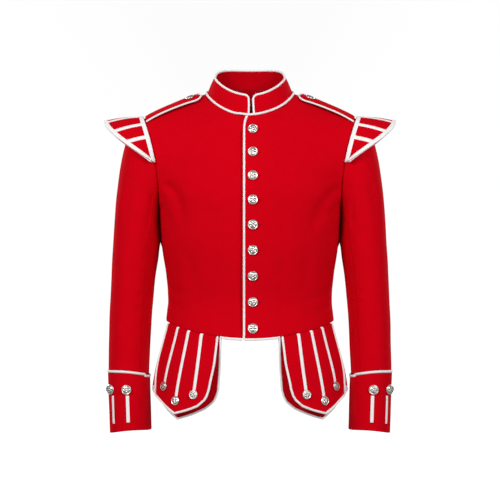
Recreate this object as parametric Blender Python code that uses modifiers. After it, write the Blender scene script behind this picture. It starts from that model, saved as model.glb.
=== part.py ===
"""Military doublet, worn: a short red wool jacket with a stand collar, shoulder wings,
shoulder straps, gauntlet cuffs and two layers of skirt flaps (tashes) on each side.

Tables and sizes are in millimetres and are scaled to metres when a mesh is made.
+Z is up, the front faces -Y, and +X is the wearer's left. The origin lies between the
two neck points of the shoulder seams, where the wearer's shoulders carry the garment.
"""

import math

import bmesh
import bpy
from mathutils import Matrix, Vector

METRES = 0.001


def table(columns, *rows):
    """Rows of numbers under named columns."""
    return [dict(zip(columns.split(), row)) for row in rows]


# Cloth and gaps
WALL = 2.2
WING_WALL = 3.0
SEAM_GAP = 0.35
SLEEVE_SEAM_GAP = 0.75

# Trim
PIPING_RADIUS = 2.3
CUFF_PIPING_RADIUS = 2.6
BRAID_THICKNESS = 1.2
STRIPE_WIDTH = 6.8
WING_BRAID_WIDTH = 7.4
NECK_PIPING_CLEARANCE = 0.5
RIM_HEIGHT = 0.9
CUFF_PIPING_PROUD = 0.6
STRAP_CLEARANCE = 0.4

# Front opening: the left front laps over the right one
LAP_PAST_CENTRE = 9.2
LAP_AT_NECK = 3.2
UNDERLAP = 12.0
LAP_GAP = 0.6
LAP_LIFT = WALL + LAP_GAP
LAP_FLAT_TO = 33.0
LAP_FADES_BY = 72.0
NECK_TRIM_CLIMBS_FROM = -34.0
NECK_TRIM_CLIMBS_OVER = 20.0
LEFT_HEM_PIPING_XS = (1.0, 14.0, 28.0, 41.0, 53.0)
RIGHT_HEM_PIPING_XS = (53.0, 41.0, 28.0, 17.5)

# Buttons, with the profile of half a button: across and height as shares of its radius
BUTTON_RADIUS = 10.0
SMALL_BUTTON_RADIUS = 9.0
FRONT_BUTTONS = 9
FRONT_BUTTON_X = 5.6
FIRST_BUTTON_Z = -80.0
LAST_BUTTON_Z = -475.0
BUTTONS_CLOSE_UP = 8.0
BUTTON_STEPS = 8
BUTTON_PROFILE = ((0.0, 0.56), (0.48, 0.49), (0.80, 0.29), (0.90, 0.33), (1.0, 0.20), (0.92, 0.04),
                  (0.0, 0.0))

# Neck ring: where the collar is sewn to the body
NECK_HALF_WIDTH = 87.0
NECK_SIDE_Y = 5.0
NECK_FRONT_Y = -74.0
NECK_BACK_Y = 62.0
NECK_FRONT_Z = -51.0
NECK_SIDE_Z = 1.0
NECK_BACK_Z = 14.0

# Top edge of the collar
COLLAR_TOP_HALF_WIDTH = 73.0
COLLAR_TOP_SIDE_Y = -2.0
COLLAR_TOP_FRONT_Y = -68.0
COLLAR_TOP_BACK_Y = 50.0
COLLAR_TOP_FRONT_Z = -10.5
COLLAR_TOP_SIDE_Z = 31.5
COLLAR_TOP_BACK_Z = 51.5
COLLAR_LEFT_EDGE_X = 10.0
COLLAR_RIGHT_EDGE_X = -5.0
COLLAR_CORNER = 7.0
COLLAR_SEAM_GAP = 1.3
COLLAR_CORNER_TURNS = (0.0, 0.7, 2.0, 3.8, 6.0)
COLLAR_EDGE_HEIGHTS = (0.16, 0.45, 0.75)

# Rows of the body panels, from the hem up. Rows 0 to 4 end at the side seam, rows 4 to
# 12 at the armhole, at that angle of its ring. Rows 0 to 9 start at the centre line,
# and rows 9 to 12 at the neck ring.
SIDE_SEAM = table(
    "x y z",
    (172.0, 2.0, -464.0),
    (167.8, 2.0, -420.0),
    (171.5, 1.0, -372.0),
    (180.0, 0.0, -315.0),
    (185.6, 0.0, -236.0),
)
PANEL_ROWS = table(
    "front_y front_z back_y back_z fullness start end angle",
    (-121.0, -494.0, 104.0, -476.0, 0.58, 0.0, 0.0, 0.0),
    (-113.0, -425.0, 98.0, -422.0, 0.58, 0.0, 0.0, 0.0),
    (-118.0, -372.0, 106.0, -372.0, 0.58, 0.0, 0.0, 0.0),
    (-124.0, -310.0, 114.0, -300.0, 0.59, 0.0, 0.0, 0.0),
    (-127.0, -240.0, 118.0, -218.0, 0.60, 0.0, 0.0, 0.0),
    (-125.0, -205.0, 118.0, -176.0, 0.60, 0.0, 0.08, 24.0),
    (-119.0, -168.0, 115.0, -130.0, 0.58, 0.0, 0.20, 48.0),
    (-108.0, -130.0, 106.0, -82.0, 0.55, 0.0, 0.40, 72.0),
    (-92.0, -91.0, 88.0, -34.0, 0.50, 0.0, 0.60, 97.0),
    (-74.0, -51.0, 62.0, 14.0, 0.45, 0.10, 0.75, 120.0),
    (0.0, 0.0, 0.0, 0.0, 0.40, 0.40, 0.85, 140.0),
    (0.0, 0.0, 0.0, 0.0, 0.36, 0.75, 0.95, 160.0),
    (0.0, 0.0, 0.0, 0.0, 0.34, 1.0, 1.0, 180.0),
)
UNDERARM_ROW = 4
NECK_ROW = 9
TOP_ROW = 12
BODY_STEPS = (2, 2, 2, 2, 1, 1, 1, 1, 1, 3, 3, 3)
BODY_SHARES = (0.0, 0.03, 0.12, 0.24, 0.36, 0.48, 0.60, 0.72, 0.85, 0.975, 1.0)
SEAM_ROW = 0.06

# Sleeve rings from the armhole to the cuff: the outer and the inner point of each, its
# middle in depth, half its depth in front and behind, and how far the armhole is
# scooped in towards the chest and the back.
SLEEVE_COLUMNS = "outer_x outer_z inner_x inner_z mid_y front back scoop_front scoop_back"
SLEEVE_RINGS = table(
    SLEEVE_COLUMNS,
    (218.0, -50.5, 186.4, -236.0, 4.0, 62.0, 62.0, 11.0, 6.0),
    (240.0, -62.5, 186.9, -257.0, 4.0, 66.0, 66.0, 6.0, 4.0),
    (254.0, -98.0, 186.2, -281.0, 3.0, 67.0, 67.0, 3.0, 2.0),
    (263.5, -140.0, 185.4, -304.0, 2.0, 66.5, 66.5, 1.0, 1.0),
    (271.0, -190.0, 187.4, -330.0, 1.0, 65.5, 65.5, 0.0, 0.0),
    (277.0, -255.0, 192.0, -363.0, 0.0, 64.5, 64.5, 0.0, 0.0),
    (281.0, -325.0, 196.6, -403.0, -1.5, 62.5, 62.5, 0.0, 0.0),
    (284.5, -400.0, 200.4, -448.0, -5.0, 59.5, 59.5, 0.0, 0.0),
    (287.0, -475.0, 203.2, -503.0, -11.0, 56.0, 56.0, 0.0, 0.0),
    (288.0, -563.0, 205.6, -573.0, -20.0, 51.5, 51.5, 0.0, 0.0),
)
SLEEVE_STEPS = (1, 1, 1, 1, 2, 2, 2, 2, 3)
SLEEVE_HEAD_STEP = 20.0
FRONT_SLEEVE_SEAM = 50.0
BACK_SLEEVE_SEAM = 300.0

CUFF_RINGS = table(
    SLEEVE_COLUMNS,
    (289.2, -569.0, 203.4, -579.4, -20.6, 52.0, 52.0, 0.0, 0.0),
    (287.0, -628.0, 201.6, -630.0, -23.5, 51.0, 51.0, 0.0, 0.0),
    (284.6, -690.0, 200.0, -683.4, -27.0, 50.5, 50.5, 0.0, 0.0),
)
# Each braid line of a cuff: the angle of its button and of its stripe
CUFF_LINES = (("front", 93.0, 91.0), ("side", 141.0, 136.0))
CUFF_BUTTON_SHARE = 0.25
CUFF_STRIPE_FROM = 0.36
CUFF_STRIPE_TO = 0.82
CUFF_LEVELS = (0.0, 0.33, 0.66, 1.0)
CUFF_COLUMNS = 18

# Tashes: the skirt flaps hung from the waist seam. Along the lower edge, from the inner
# corner to the outer one: share of the width, depth in y and height in z.
TOP_TASH = dict(
    inner_x=66.5, outer_x=165.0, inner_foot_x=79.0, outer_foot_x=189.0, bow=6.0, behind=0.0,
    foot=table(
        "share y z",
        (0.0, -127.0, -600.0), (0.08, -127.0, -613.0), (0.21, -125.0, -624.5),
        (0.42, -118.0, -633.5), (0.64, -106.0, -640.5), (0.81, -86.0, -627.5),
        (1.0, -54.0, -608.5)),
)
UNDER_TASH = dict(
    inner_x=56.5, outer_x=167.0, inner_foot_x=58.5, outer_foot_x=194.0, bow=3.0, behind=2.9,
    foot=table(
        "share y z",
        (0.0, -115.0, -603.0), (0.08, -115.0, -621.5), (0.21, -114.0, -635.5),
        (0.42, -108.0, -648.0), (0.64, -94.0, -658.0), (0.81, -71.0, -639.0),
        (1.0, -41.0, -604.0)),
)
TASH_LENGTH = 140.0
TASH_ACROSS = (0.0, 0.08, 0.21, 0.42, 0.64, 0.81, 1.0)
TASH_DOWN = (0.0, 0.18, 0.35, 0.52, 0.68, 0.84, 1.0)
# The under tash has its piping as a raised rim in its own cloth
RIM_ACROSS = (0.0, 0.04, 0.055, 0.21, 0.42, 0.64, 0.81, 1.0)
RIM_DOWN = (0.0, 0.18, 0.35, 0.52, 0.68, 0.84, 0.955, 0.968, 1.0)
# Where each braid line leaves the waist seam and where its button sits: share of the
# width at the top, share of the width at the foot, share of the way down, and how deep
# the button is seated.
TASH_LINES = (("inner", 0.30, 0.30, 0.835, 0.0), ("middle", 0.565, 0.64, 0.865, 0.0),
              ("outer", 0.79, 0.865, 0.79, 0.65))
TASH_STRIPE_FROM = 0.012
TASH_STRIPE_STEPS = 6

# Wings: from the ridge (0 degrees) to the tips in front and behind (90 degrees)
WING_TIP_X = 300.0
WING_TIP_Z = -56.0
WING_FOOT_X = 199.0
WING_FOOT_Z = -141.0
WING_MID_Y = 8.0
WING_REACH_Y = 80.0
WING_CROWN = 3.0
WING_LIFT = 4.2
WING_BARS = (-58.0, -36.0, 0.0, 36.0, 58.0)
WING_BAR_HALF_ANGLE = 2.3
WING_CLOSED_FROM = 76.0
WING_ANGLES = (-90.0, -83.0, -76.0, -67.0, -47.0, -27.0, -14.0, 14.0, 27.0, 47.0, 67.0, 76.0, 83.0, 90.0)

# Shoulder straps
STRAP_OUTLINE = table(
    "along half_width",
    (0.03, 26.0), (0.30, 25.0), (0.60, 23.5), (0.78, 20.0), (0.88, 12.0), (0.92, 4.0))
STRAP_SHARES = (-1.0, -0.84, -0.76, -0.38, 0.0, 0.38, 0.76, 0.84, 1.0)
STRAP_RIM_FROM = 0.8
STRAP_THICKNESS = 2.8
STRAP_FORWARD = 8.0
STRAP_BUTTON_ALONG = 0.745
STRAP_BUTTON_SEAT = 0.5

# A point inside each hollow, from which its walls face away
BODY_INSIDE = Vector((0.0, 0.0, -310.0))
COLLAR_INSIDE = Vector((0.0, 0.0, 0.0))
SLEEVE_INSIDE = Vector((236.0, 0.0, -300.0))
CUFF_INSIDE = Vector((244.0, -24.0, -628.0))
TASH_INSIDE = Vector((110.0, 60.0, -560.0))
WING_INSIDE = Vector((235.0, WING_MID_Y, -160.0))
STRAP_INSIDE = Vector((150.0, 8.0, -120.0))

# Finishes: colour, roughness and metal
WOOL = ((0.56, 0.004, 0.012), 0.85, 0.0)
BRAID = ((0.86, 0.82, 0.80), 0.8, 0.0)
METAL = ((0.62, 0.60, 0.57), 0.3, 1.0)


def material(name, colour, roughness, metallic=0.0):
    """A plain finish of the piece's own colour."""
    made = bpy.data.materials.new(name)
    made.use_nodes = True
    shader = made.node_tree.nodes["Principled BSDF"]
    shader.inputs["Base Color"].default_value = (*colour, 1.0)
    shader.inputs["Roughness"].default_value = roughness
    shader.inputs["Metallic"].default_value = metallic
    return made


def place(name, data, collection, finish):
    """Link a mesh or a curve as one named sub-part with its finish."""
    piece = bpy.data.objects.new(name, data)
    colour, roughness, metallic = finish
    data.materials.append(material(name, colour, roughness, metallic))
    collection.objects.link(piece)
    return piece


def column_at(rows, column, at, first=0, last=None):
    """One column of a table between its rows, as a smooth curve that never overshoots."""
    last = len(rows) - 1 if last is None else last
    at = min(max(at, first), last)
    low = min(int(at), last - 1)
    share = at - low
    here, there = rows[low][column], rows[low + 1][column]
    step = there - here
    before = here - rows[low - 1][column] if low > first else step
    after = rows[low + 2][column] - there if low + 2 <= last else step
    slope_in = 0.0 if before * step <= 0 else 2.0 * before * step / (before + step)
    slope_out = 0.0 if step * after <= 0 else 2.0 * step * after / (step + after)
    square, cube = share * share, share * share * share
    return (here * (2 * cube - 3 * square + 1) + slope_in * (cube - 2 * square + share)
            + there * (3 * square - 2 * cube) + slope_out * (cube - square))


def lerp(start, end, share):
    return start + (end - start) * share


def smooth(share):
    share = min(max(share, 0.0), 1.0)
    return share * share * (3.0 - 2.0 * share)


def front_rise(angle):
    """How far an edge at the neck has risen from centre front (0) to its side (1)."""
    cosine = math.cos(math.radians(angle))
    return (1.0 - cosine) * (2.0 + cosine) / 2.0


def neck_point(angle):
    """The neck ring: 0 degrees at centre front, 90 at the side, 180 at centre back."""
    turn = math.radians(angle)
    x = NECK_HALF_WIDTH * math.sin(turn)
    if math.cos(turn) >= 0.0:
        y = lerp(NECK_SIDE_Y, NECK_FRONT_Y, math.cos(turn))
        z = lerp(NECK_FRONT_Z, NECK_SIDE_Z, front_rise(angle))
    else:
        y = lerp(NECK_SIDE_Y, NECK_BACK_Y, -math.cos(turn))
        z = lerp(NECK_SIDE_Z, NECK_BACK_Z, -math.cos(turn))
    return Vector((x, y, z))


def collar_top_point(angle):
    """The collar's top edge, with its front corners rounded off."""
    turn = math.radians(angle)
    x = COLLAR_TOP_HALF_WIDTH * math.sin(turn)
    if math.cos(turn) >= 0.0:
        y = lerp(COLLAR_TOP_SIDE_Y, COLLAR_TOP_FRONT_Y, math.cos(turn))
        z = lerp(COLLAR_TOP_FRONT_Z, COLLAR_TOP_SIDE_Z, front_rise(angle))
        edge = (COLLAR_LEFT_EDGE_X if x > 0.0 else COLLAR_RIGHT_EDGE_X) / NECK_HALF_WIDTH
        inset = min(abs(x - edge * COLLAR_TOP_HALF_WIDTH), COLLAR_CORNER)
        z -= COLLAR_CORNER - math.sqrt(COLLAR_CORNER ** 2 - (COLLAR_CORNER - inset) ** 2)
    else:
        y = lerp(COLLAR_TOP_SIDE_Y, COLLAR_TOP_BACK_Y, -math.cos(turn))
        level = 1.0 - (1.0 + math.cos(turn)) ** 2
        z = lerp(COLLAR_TOP_SIDE_Z, COLLAR_TOP_BACK_Z, level)
    return Vector((x, y, z))


def collar_point(angle, height):
    """A point of the collar: height 0 at the neck seam, 1 at the top edge."""
    base = neck_point(angle) + Vector((0.0, 0.0, COLLAR_SEAM_GAP))
    return base.lerp(collar_top_point(angle), height)


def ring_point(rings, at, angle):
    """A point of a tube: 0 degrees is its inner side, 90 front, 180 outer, 270 back."""
    (outer_x, outer_z, inner_x, inner_z, mid_y, front, back,
     scoop_front, scoop_back) = (column_at(rings, column, at) for column in SLEEVE_COLUMNS.split())
    turn = math.radians(angle)
    sine, cosine = math.sin(turn), math.cos(turn)
    depth, scoop = (front, scoop_front) if sine >= 0.0 else (back, scoop_back)
    return Vector((
        (outer_x + inner_x) / 2.0 - (outer_x - inner_x) / 2.0 * cosine - scoop * sine * sine,
        mid_y - depth * sine,
        (outer_z + inner_z) / 2.0 - (outer_z - inner_z) / 2.0 * cosine,
    ))


def armhole_point(angle, facing):
    """The armhole from the underarm (0) to the shoulder seam (180), in front or behind."""
    return ring_point(SLEEVE_RINGS, 0.0, angle if facing == "front" else -angle)


def panel_point(facing, row, across):
    """A point of the body: across is 0 on the centre line or neck ring and 1 at the edge."""
    if row <= NECK_ROW:
        start = Vector((0.0, column_at(PANEL_ROWS, f"{facing}_y", row, last=NECK_ROW),
                        column_at(PANEL_ROWS, f"{facing}_z", row, last=NECK_ROW)))
    else:
        turned = 90.0 * (row - NECK_ROW) / (TOP_ROW - NECK_ROW)
        start = neck_point(turned if facing == "front" else 180.0 - turned)
    if row <= UNDERARM_ROW:
        end = Vector(column_at(SIDE_SEAM, column, row) for column in ("x", "y", "z"))
    else:
        end = armhole_point(column_at(PANEL_ROWS, "angle", row, first=UNDERARM_ROW), facing)
    fullness, start_turn, end_turn = (column_at(PANEL_ROWS, column, row)
                                      for column in ("fullness", "start", "end"))
    span = end - start
    near = Vector((start.x + fullness * span.x, start.y + fullness * span.y * start_turn))
    far = Vector((end.x - fullness * span.x * end_turn, end.y - fullness * span.y))
    share = abs(across)
    rest = 1.0 - share
    weights = (rest ** 3, 3 * rest * rest * share, 3 * rest * share * share, share ** 3)
    corners = (Vector((start.x, start.y)), near, far, Vector((end.x, end.y)))
    flat = sum((corner * weight for corner, weight in zip(corners, weights)), Vector((0.0, 0.0)))
    rise = lerp(smooth(share), share, start_turn)
    return Vector((math.copysign(flat.x, across) if across else flat.x, flat.y, start.z + span.z * rise))


def normal_of(surface, first, second, inside):
    """The unit normal of a surface at a pair of its parameters, away from a point inside."""
    nudge = 1e-3
    along = surface(first + nudge, second) - surface(first - nudge, second)
    over = surface(first, second + nudge) - surface(first, second - nudge)
    normal = along.cross(over).normalized()
    return normal if normal.dot(surface(first, second) - inside) > 0.0 else -normal


def body_normal(facing, row, across):
    """Out of the body's cloth, taken just short of the seams."""
    short = 0.002
    row = min(max(row, short), TOP_ROW - short)
    across = min(across, 1.0 - short)
    here = panel_point(facing, row, across)
    below = Vector((0.0, 0.0, here.z - 60.0))
    return normal_of(lambda r, a: panel_point(facing, r, a), row, across, below)


def across_at_x(facing, row, x):
    """The share across a row at which the panel has a given x, for x on either side."""
    low, high = 0.0, 1.0
    for _ in range(30):
        middle = (low + high) / 2.0
        if panel_point(facing, row, middle).x < abs(x):
            low = middle
        else:
            high = middle
    return math.copysign((low + high) / 2.0, x)


def row_at_z(facing, z, x):
    """The row of a panel at which the line x = constant has a given height."""
    low, high = 0.0, float(NECK_ROW)
    for _ in range(30):
        middle = (low + high) / 2.0
        if panel_point(facing, middle, across_at_x(facing, middle, x)).z < z:
            low = middle
        else:
            high = middle
    return (low + high) / 2.0


def lap_lift(x):
    """How far the left front stands out where it lies over the right one."""
    return LAP_LIFT * (1.0 - smooth((x - LAP_FLAT_TO) / (LAP_FADES_BY - LAP_FLAT_TO)))


def left_front_point(row, across):
    """The left front: the body's surface, raised where it laps over the right front."""
    point = panel_point("front", row, across)
    raised = body_normal("front", row, abs(across))
    if across < 0.0:
        raised.x = -raised.x
    return point + raised * lap_lift(point.x)


def rows_of(steps):
    """Row positions through a table, with that many steps between its rows."""
    positions = [0.0]
    for row, count in enumerate(steps):
        positions += [row + (step + 1) / count for step in range(count)]
    return positions


def panel_rows():
    """The rows of a body panel, with one more just short of the shoulder seam."""
    positions = rows_of(BODY_STEPS)
    return positions[:-1] + [TOP_ROW - SEAM_ROW, float(TOP_ROW)]


def sheet(name, grid, collection, finish, inside, thickness=WALL, closed=False, keep=None):
    """A cloth wall: its outer points as rows of a grid, thickened inwards by Solidify."""
    mesh = bpy.data.meshes.new(name)
    shape = bmesh.new()
    verts = [[shape.verts.new(point * METRES) for point in row] for row in grid]
    width = len(grid[0])
    last = width if closed else width - 1
    for row in range(len(grid) - 1):
        for column in range(last):
            if keep and not keep(row, column):
                continue
            after = (column + 1) % width
            shape.faces.new((verts[row][column], verts[row][after],
                             verts[row + 1][after], verts[row + 1][column]))
    loose = [vert for vert in shape.verts if not vert.link_faces]
    bmesh.ops.delete(shape, geom=loose, context="VERTS")
    shape.normal_update()
    away = sum(face.normal.dot(face.calc_center_median() - inside * METRES) * face.calc_area()
               for face in shape.faces)
    if away < 0.0:
        bmesh.ops.reverse_faces(shape, faces=shape.faces)
    shape.to_mesh(mesh)
    shape.free()
    mesh.shade_smooth()
    mesh.set_sharp_from_angle(angle=math.radians(40.0))
    piece = place(name, mesh, collection, finish)
    wall = piece.modifiers.new("Wall", "SOLIDIFY")
    wall.thickness = thickness * METRES
    wall.offset = -1.0
    return piece


def tube(name, path, radius, collection, closed=False):
    """A round piping along a path."""
    curve = bpy.data.curves.new(name, "CURVE")
    curve.dimensions = "3D"
    curve.bevel_depth = radius * METRES
    curve.bevel_resolution = 1
    curve.use_fill_caps = not closed
    spline = curve.splines.new("POLY")
    spline.points.add(len(path) - 1)
    for point, target in zip(spline.points, path):
        point.co = (*(target * METRES), 1.0)
    spline.use_cyclic_u = closed
    return place(name, curve, collection, BRAID)


def mirrored(points, sign):
    return [Vector((point.x * sign, point.y, point.z)) for point in points]


def mirrored_grid(grid, sign):
    return [mirrored(row, sign) for row in grid]


def band(name, spine, sides, normals, collection, inside):
    """A flat braid with a raised middle, lying a seam gap above the cloth."""
    thin = BRAID_THICKNESS * 0.8
    grid = []
    for point, side, normal in zip(spine, sides, normals):
        half = side * (STRIPE_WIDTH / 2.0)
        flat = point + normal * (SEAM_GAP + thin)
        grid.append([flat - half, point + normal * (SEAM_GAP + BRAID_THICKNESS), flat + half])
    return sheet(name, grid, collection, BRAID, inside, thickness=thin)


def button(name, centre, normal, radius, collection):
    """A domed metal button with a raised rim, its flat back just off the cloth."""
    mesh = bpy.data.meshes.new(name)
    shape = bmesh.new()
    verts = [shape.verts.new((across * radius * METRES, 0.0, height * radius * METRES))
             for across, height in BUTTON_PROFILE]
    for first, second in zip(verts, verts[1:]):
        shape.edges.new((first, second))
    shape.to_mesh(mesh)
    shape.free()
    piece = place(name, mesh, collection, METAL)
    turned = piece.modifiers.new("Turned", "SCREW")
    turned.axis = "Z"
    turned.steps = BUTTON_STEPS
    turned.render_steps = BUTTON_STEPS
    turned.use_merge_vertices = True
    turned.merge_threshold = 0.00001
    turned.use_smooth_shade = True
    upright = normal.to_track_quat("Z", "Y").to_matrix().to_4x4()
    piece.matrix_world = Matrix.Translation((centre + normal * SEAM_GAP) * METRES) @ upright
    return piece


def beside_edge(edge, normals, side, reach, sink):
    """A path beside an edge of a wall, mitred at its corners. The side is 1 or -1, and
    sink is how far the path lies under the wall's outer face."""
    path = []
    for index, point in enumerate(edge):
        before = point - edge[index - 1] if index else edge[1] - point
        after = edge[index + 1] - point if index < len(edge) - 1 else before
        first = before.cross(normals[index]).normalized() * side
        second = after.cross(normals[index]).normalized() * side
        outward = (first + second) / (1.0 + first.dot(second))
        path.append(point + outward * reach - normals[index] * sink)
    return path


def lap_at(row):
    """How far the left front runs past the centre line, less just under the collar."""
    return lerp(LAP_PAST_CENTRE, LAP_AT_NECK, smooth((row - NECK_ROW + 0.8) / 0.8))


def make_fronts(collection):
    left, right = [], []
    for row in panel_rows():
        below_neck = row <= NECK_ROW
        edge_of_left = across_at_x("front", row, -lap_at(row)) if below_neck else 0.0
        edge_of_right = across_at_x("front", row, -UNDERLAP) if below_neck else 0.0
        left.append([left_front_point(row, lerp(edge_of_left, 1.0, share)) for share in BODY_SHARES])
        right.append([panel_point("front", row, lerp(edge_of_right, 1.0, share)) for share in BODY_SHARES])
    sheet("front_left", left, collection, WOOL, BODY_INSIDE)
    sheet("front_right", mirrored_grid(right, -1), collection, WOOL, BODY_INSIDE)


def make_backs(collection):
    grid = [[panel_point("back", row, share) for share in BODY_SHARES] for row in panel_rows()]
    for row in grid:
        row[0] = row[0] + (row[1] - row[0]).normalized() * (SEAM_GAP / 2.0)
        row[-1] = row[-1] + (row[-2] - row[-1]).normalized() * SEAM_GAP
    grid[-1] = [here + (before - here).normalized() * SEAM_GAP for here, before in zip(grid[-1], grid[-2])]
    for name, sign in (("back_left", 1), ("back_right", -1)):
        sheet(name, mirrored_grid(grid, sign), collection, WOOL, BODY_INSIDE)


def make_collar(collection):
    left = math.degrees(math.asin(COLLAR_LEFT_EDGE_X / NECK_HALF_WIDTH))
    right = 360.0 + math.degrees(math.asin(COLLAR_RIGHT_EDGE_X / NECK_HALF_WIDTH))
    angles = [left + turn for turn in COLLAR_CORNER_TURNS]
    angles += [float(angle) for angle in range(20, 350, 10)]
    angles += [right - turn for turn in reversed(COLLAR_CORNER_TURNS)]
    grid = [[collar_point(angle, height) for height in (0.0, 0.5, 1.0)] for angle in angles]
    sheet("collar", grid, collection, WOOL, COLLAR_INSIDE)

    outline = [(left, height) for height in COLLAR_EDGE_HEIGHTS]
    outline += [(angle, 1.0) for angle in angles]
    outline += [(right, height) for height in reversed(COLLAR_EDGE_HEIGHTS)]
    edge = [collar_point(angle, height) for angle, height in outline]
    normals = [normal_of(collar_point, angle, height * 0.9, COLLAR_INSIDE) for angle, height in outline]
    path = beside_edge(edge, normals, -1.0, PIPING_RADIUS + SEAM_GAP, WALL / 2.0)
    tube("collar_piping", path, PIPING_RADIUS, collection)


def trim_lift(x):
    """The neck piping climbs over the lap just before the left front's edge."""
    if x < 0.0:
        return LAP_LIFT * smooth((x - NECK_TRIM_CLIMBS_FROM) / NECK_TRIM_CLIMBS_OVER)
    return lap_lift(x)


def make_neck_piping(collection):
    """The piping in the angle between the collar and the body, all round the neck."""
    reach = PIPING_RADIUS + SEAM_GAP
    path = []
    for angle in range(0, 360, 10):
        folded = angle if angle <= 180.0 else 360.0 - angle
        facing = "front" if folded <= 90.0 else "back"
        row = NECK_ROW + (folded if folded <= 90.0 else 180.0 - folded) / 30.0
        from_body = body_normal(facing, row, 0.004)
        from_collar = normal_of(collar_point, folded, 0.2, Vector((0.0, 0.0, -10.0)))
        sign = 1.0 if angle <= 180.0 else -1.0
        for normal in (from_body, from_collar):
            normal.x *= sign
        between = (from_body + from_collar) / (1.0 + from_body.dot(from_collar))
        seam = neck_point(folded)
        seam.x *= sign
        lift = trim_lift(seam.x) if folded < 60.0 else 0.0
        path.append(seam + between * (reach + NECK_PIPING_CLEARANCE) + from_body * lift)
    tube("neck_seam_piping", path, PIPING_RADIUS, collection, closed=True)


def hem_path(xs, sign):
    """Points just under the hem of a front, at those distances from the centre line."""
    surface = left_front_point if sign > 0 else lambda row, across: panel_point("front", row, across)
    points = [surface(0.0, across_at_x("front", 0.0, x)) for x in xs]
    drop = Vector((0.0, 0.0, -PIPING_RADIUS - SEAM_GAP))
    return mirrored([point + drop for point in points], sign)


def make_front_piping(collection):
    """The piped edge of the left front from the neck to the hem, round the corner and
    along the hem, and the piping of the right hem beside it."""
    reach = PIPING_RADIUS + SEAM_GAP
    proud = reach - LAP_LIFT
    path = []
    steps = 18
    for step in range(steps + 1):
        row = lerp(NECK_ROW - 0.24, 0.12, step / steps)
        across = across_at_x("front", row, -lap_at(row))
        normal = body_normal("front", row, abs(across))
        path.append(left_front_point(row, across) + normal * proud - Vector((reach, 0.0, 0.0)))
    corner = left_front_point(0.0, across_at_x("front", 0.0, -LAP_PAST_CENTRE))
    path.append(corner + Vector((-reach * 0.75, 0.0, -reach * 0.75)))
    path += hem_path(LEFT_HEM_PIPING_XS, 1)
    tube("front_edge_piping", path, PIPING_RADIUS, collection)
    tube("right_hem_piping", hem_path(RIGHT_HEM_PIPING_XS, -1), PIPING_RADIUS, collection)


def sleeve_angles(first, last):
    """Angles round a sleeve piece: those of the armhole, and narrow strips at its seams."""
    half_gap, strip, clear = 0.17, 2.6, 4.0
    armhole = [row["angle"] for row in PANEL_ROWS[UNDERARM_ROW:]]
    armhole = sorted({*armhole, *(-angle for angle in armhole), *(360.0 - angle for angle in armhole)})
    between = [angle for angle in armhole if first + clear < angle < last - clear]
    return [first + half_gap, first + strip, *between, last - strip, last - half_gap]


def make_sleeves(collection):
    positions = rows_of(SLEEVE_STEPS)
    positions[0] = SLEEVE_SEAM_GAP / SLEEVE_HEAD_STEP
    pieces = (
        ("top_sleeve", sleeve_angles(FRONT_SLEEVE_SEAM, BACK_SLEEVE_SEAM)),
        ("under_sleeve", sleeve_angles(BACK_SLEEVE_SEAM - 360.0, FRONT_SLEEVE_SEAM)),
    )
    for name, angles in pieces:
        grid = [[ring_point(SLEEVE_RINGS, at, angle) for angle in angles] for at in positions]
        for side, sign in (("left", 1), ("right", -1)):
            sheet(f"{name}_{side}", mirrored_grid(grid, sign), collection, WOOL,
                  SLEEVE_INSIDE * Vector((sign, 1, 1)))


def cuff_point(share, angle):
    return ring_point(CUFF_RINGS, share * (len(CUFF_RINGS) - 1), angle)


def make_cuffs(collection):
    grid = [[cuff_point(level, 360.0 * step / CUFF_COLUMNS) for step in range(CUFF_COLUMNS)]
            for level in CUFF_LEVELS]
    for side, sign in (("left", 1), ("right", -1)):
        flip = Vector((sign, 1, 1))
        sheet(f"cuff_{side}", mirrored_grid(grid, sign), collection, WOOL, CUFF_INSIDE * flip, closed=True)
        path = []
        for step in range(24):
            angle = 360.0 * step / 24
            above = ring_point(SLEEVE_RINGS, len(SLEEVE_RINGS) - 1, angle)
            below = cuff_point(0.0, angle)
            outward = below - CUFF_INSIDE
            outward.z = 0.0
            sink = WALL / 2.0 - CUFF_PIPING_PROUD
            path.append((above + below) / 2.0 - outward.normalized() * sink)
        tube(f"cuff_piping_{side}", mirrored(path, sign), CUFF_PIPING_RADIUS, collection, closed=True)
        for line, button_angle, angle in CUFF_LINES:
            normal = normal_of(cuff_point, CUFF_BUTTON_SHARE, button_angle, CUFF_INSIDE)
            centre = cuff_point(CUFF_BUTTON_SHARE, button_angle)
            button(f"cuff_button_{line}_{side}", centre * flip, normal * flip, BUTTON_RADIUS, collection)
            spine, sides, normals = [], [], []
            for step in range(4):
                share = lerp(CUFF_STRIPE_FROM, CUFF_STRIPE_TO, step / 3)
                across = cuff_point(share, angle + 2.0) - cuff_point(share, angle - 2.0)
                spine.append(cuff_point(share, angle) * flip)
                sides.append(across.normalized() * flip)
                normals.append(normal_of(cuff_point, share, angle, CUFF_INSIDE) * flip)
            band(f"cuff_stripe_{line}_{side}", spine, sides, normals, collection, CUFF_INSIDE * flip)


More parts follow.
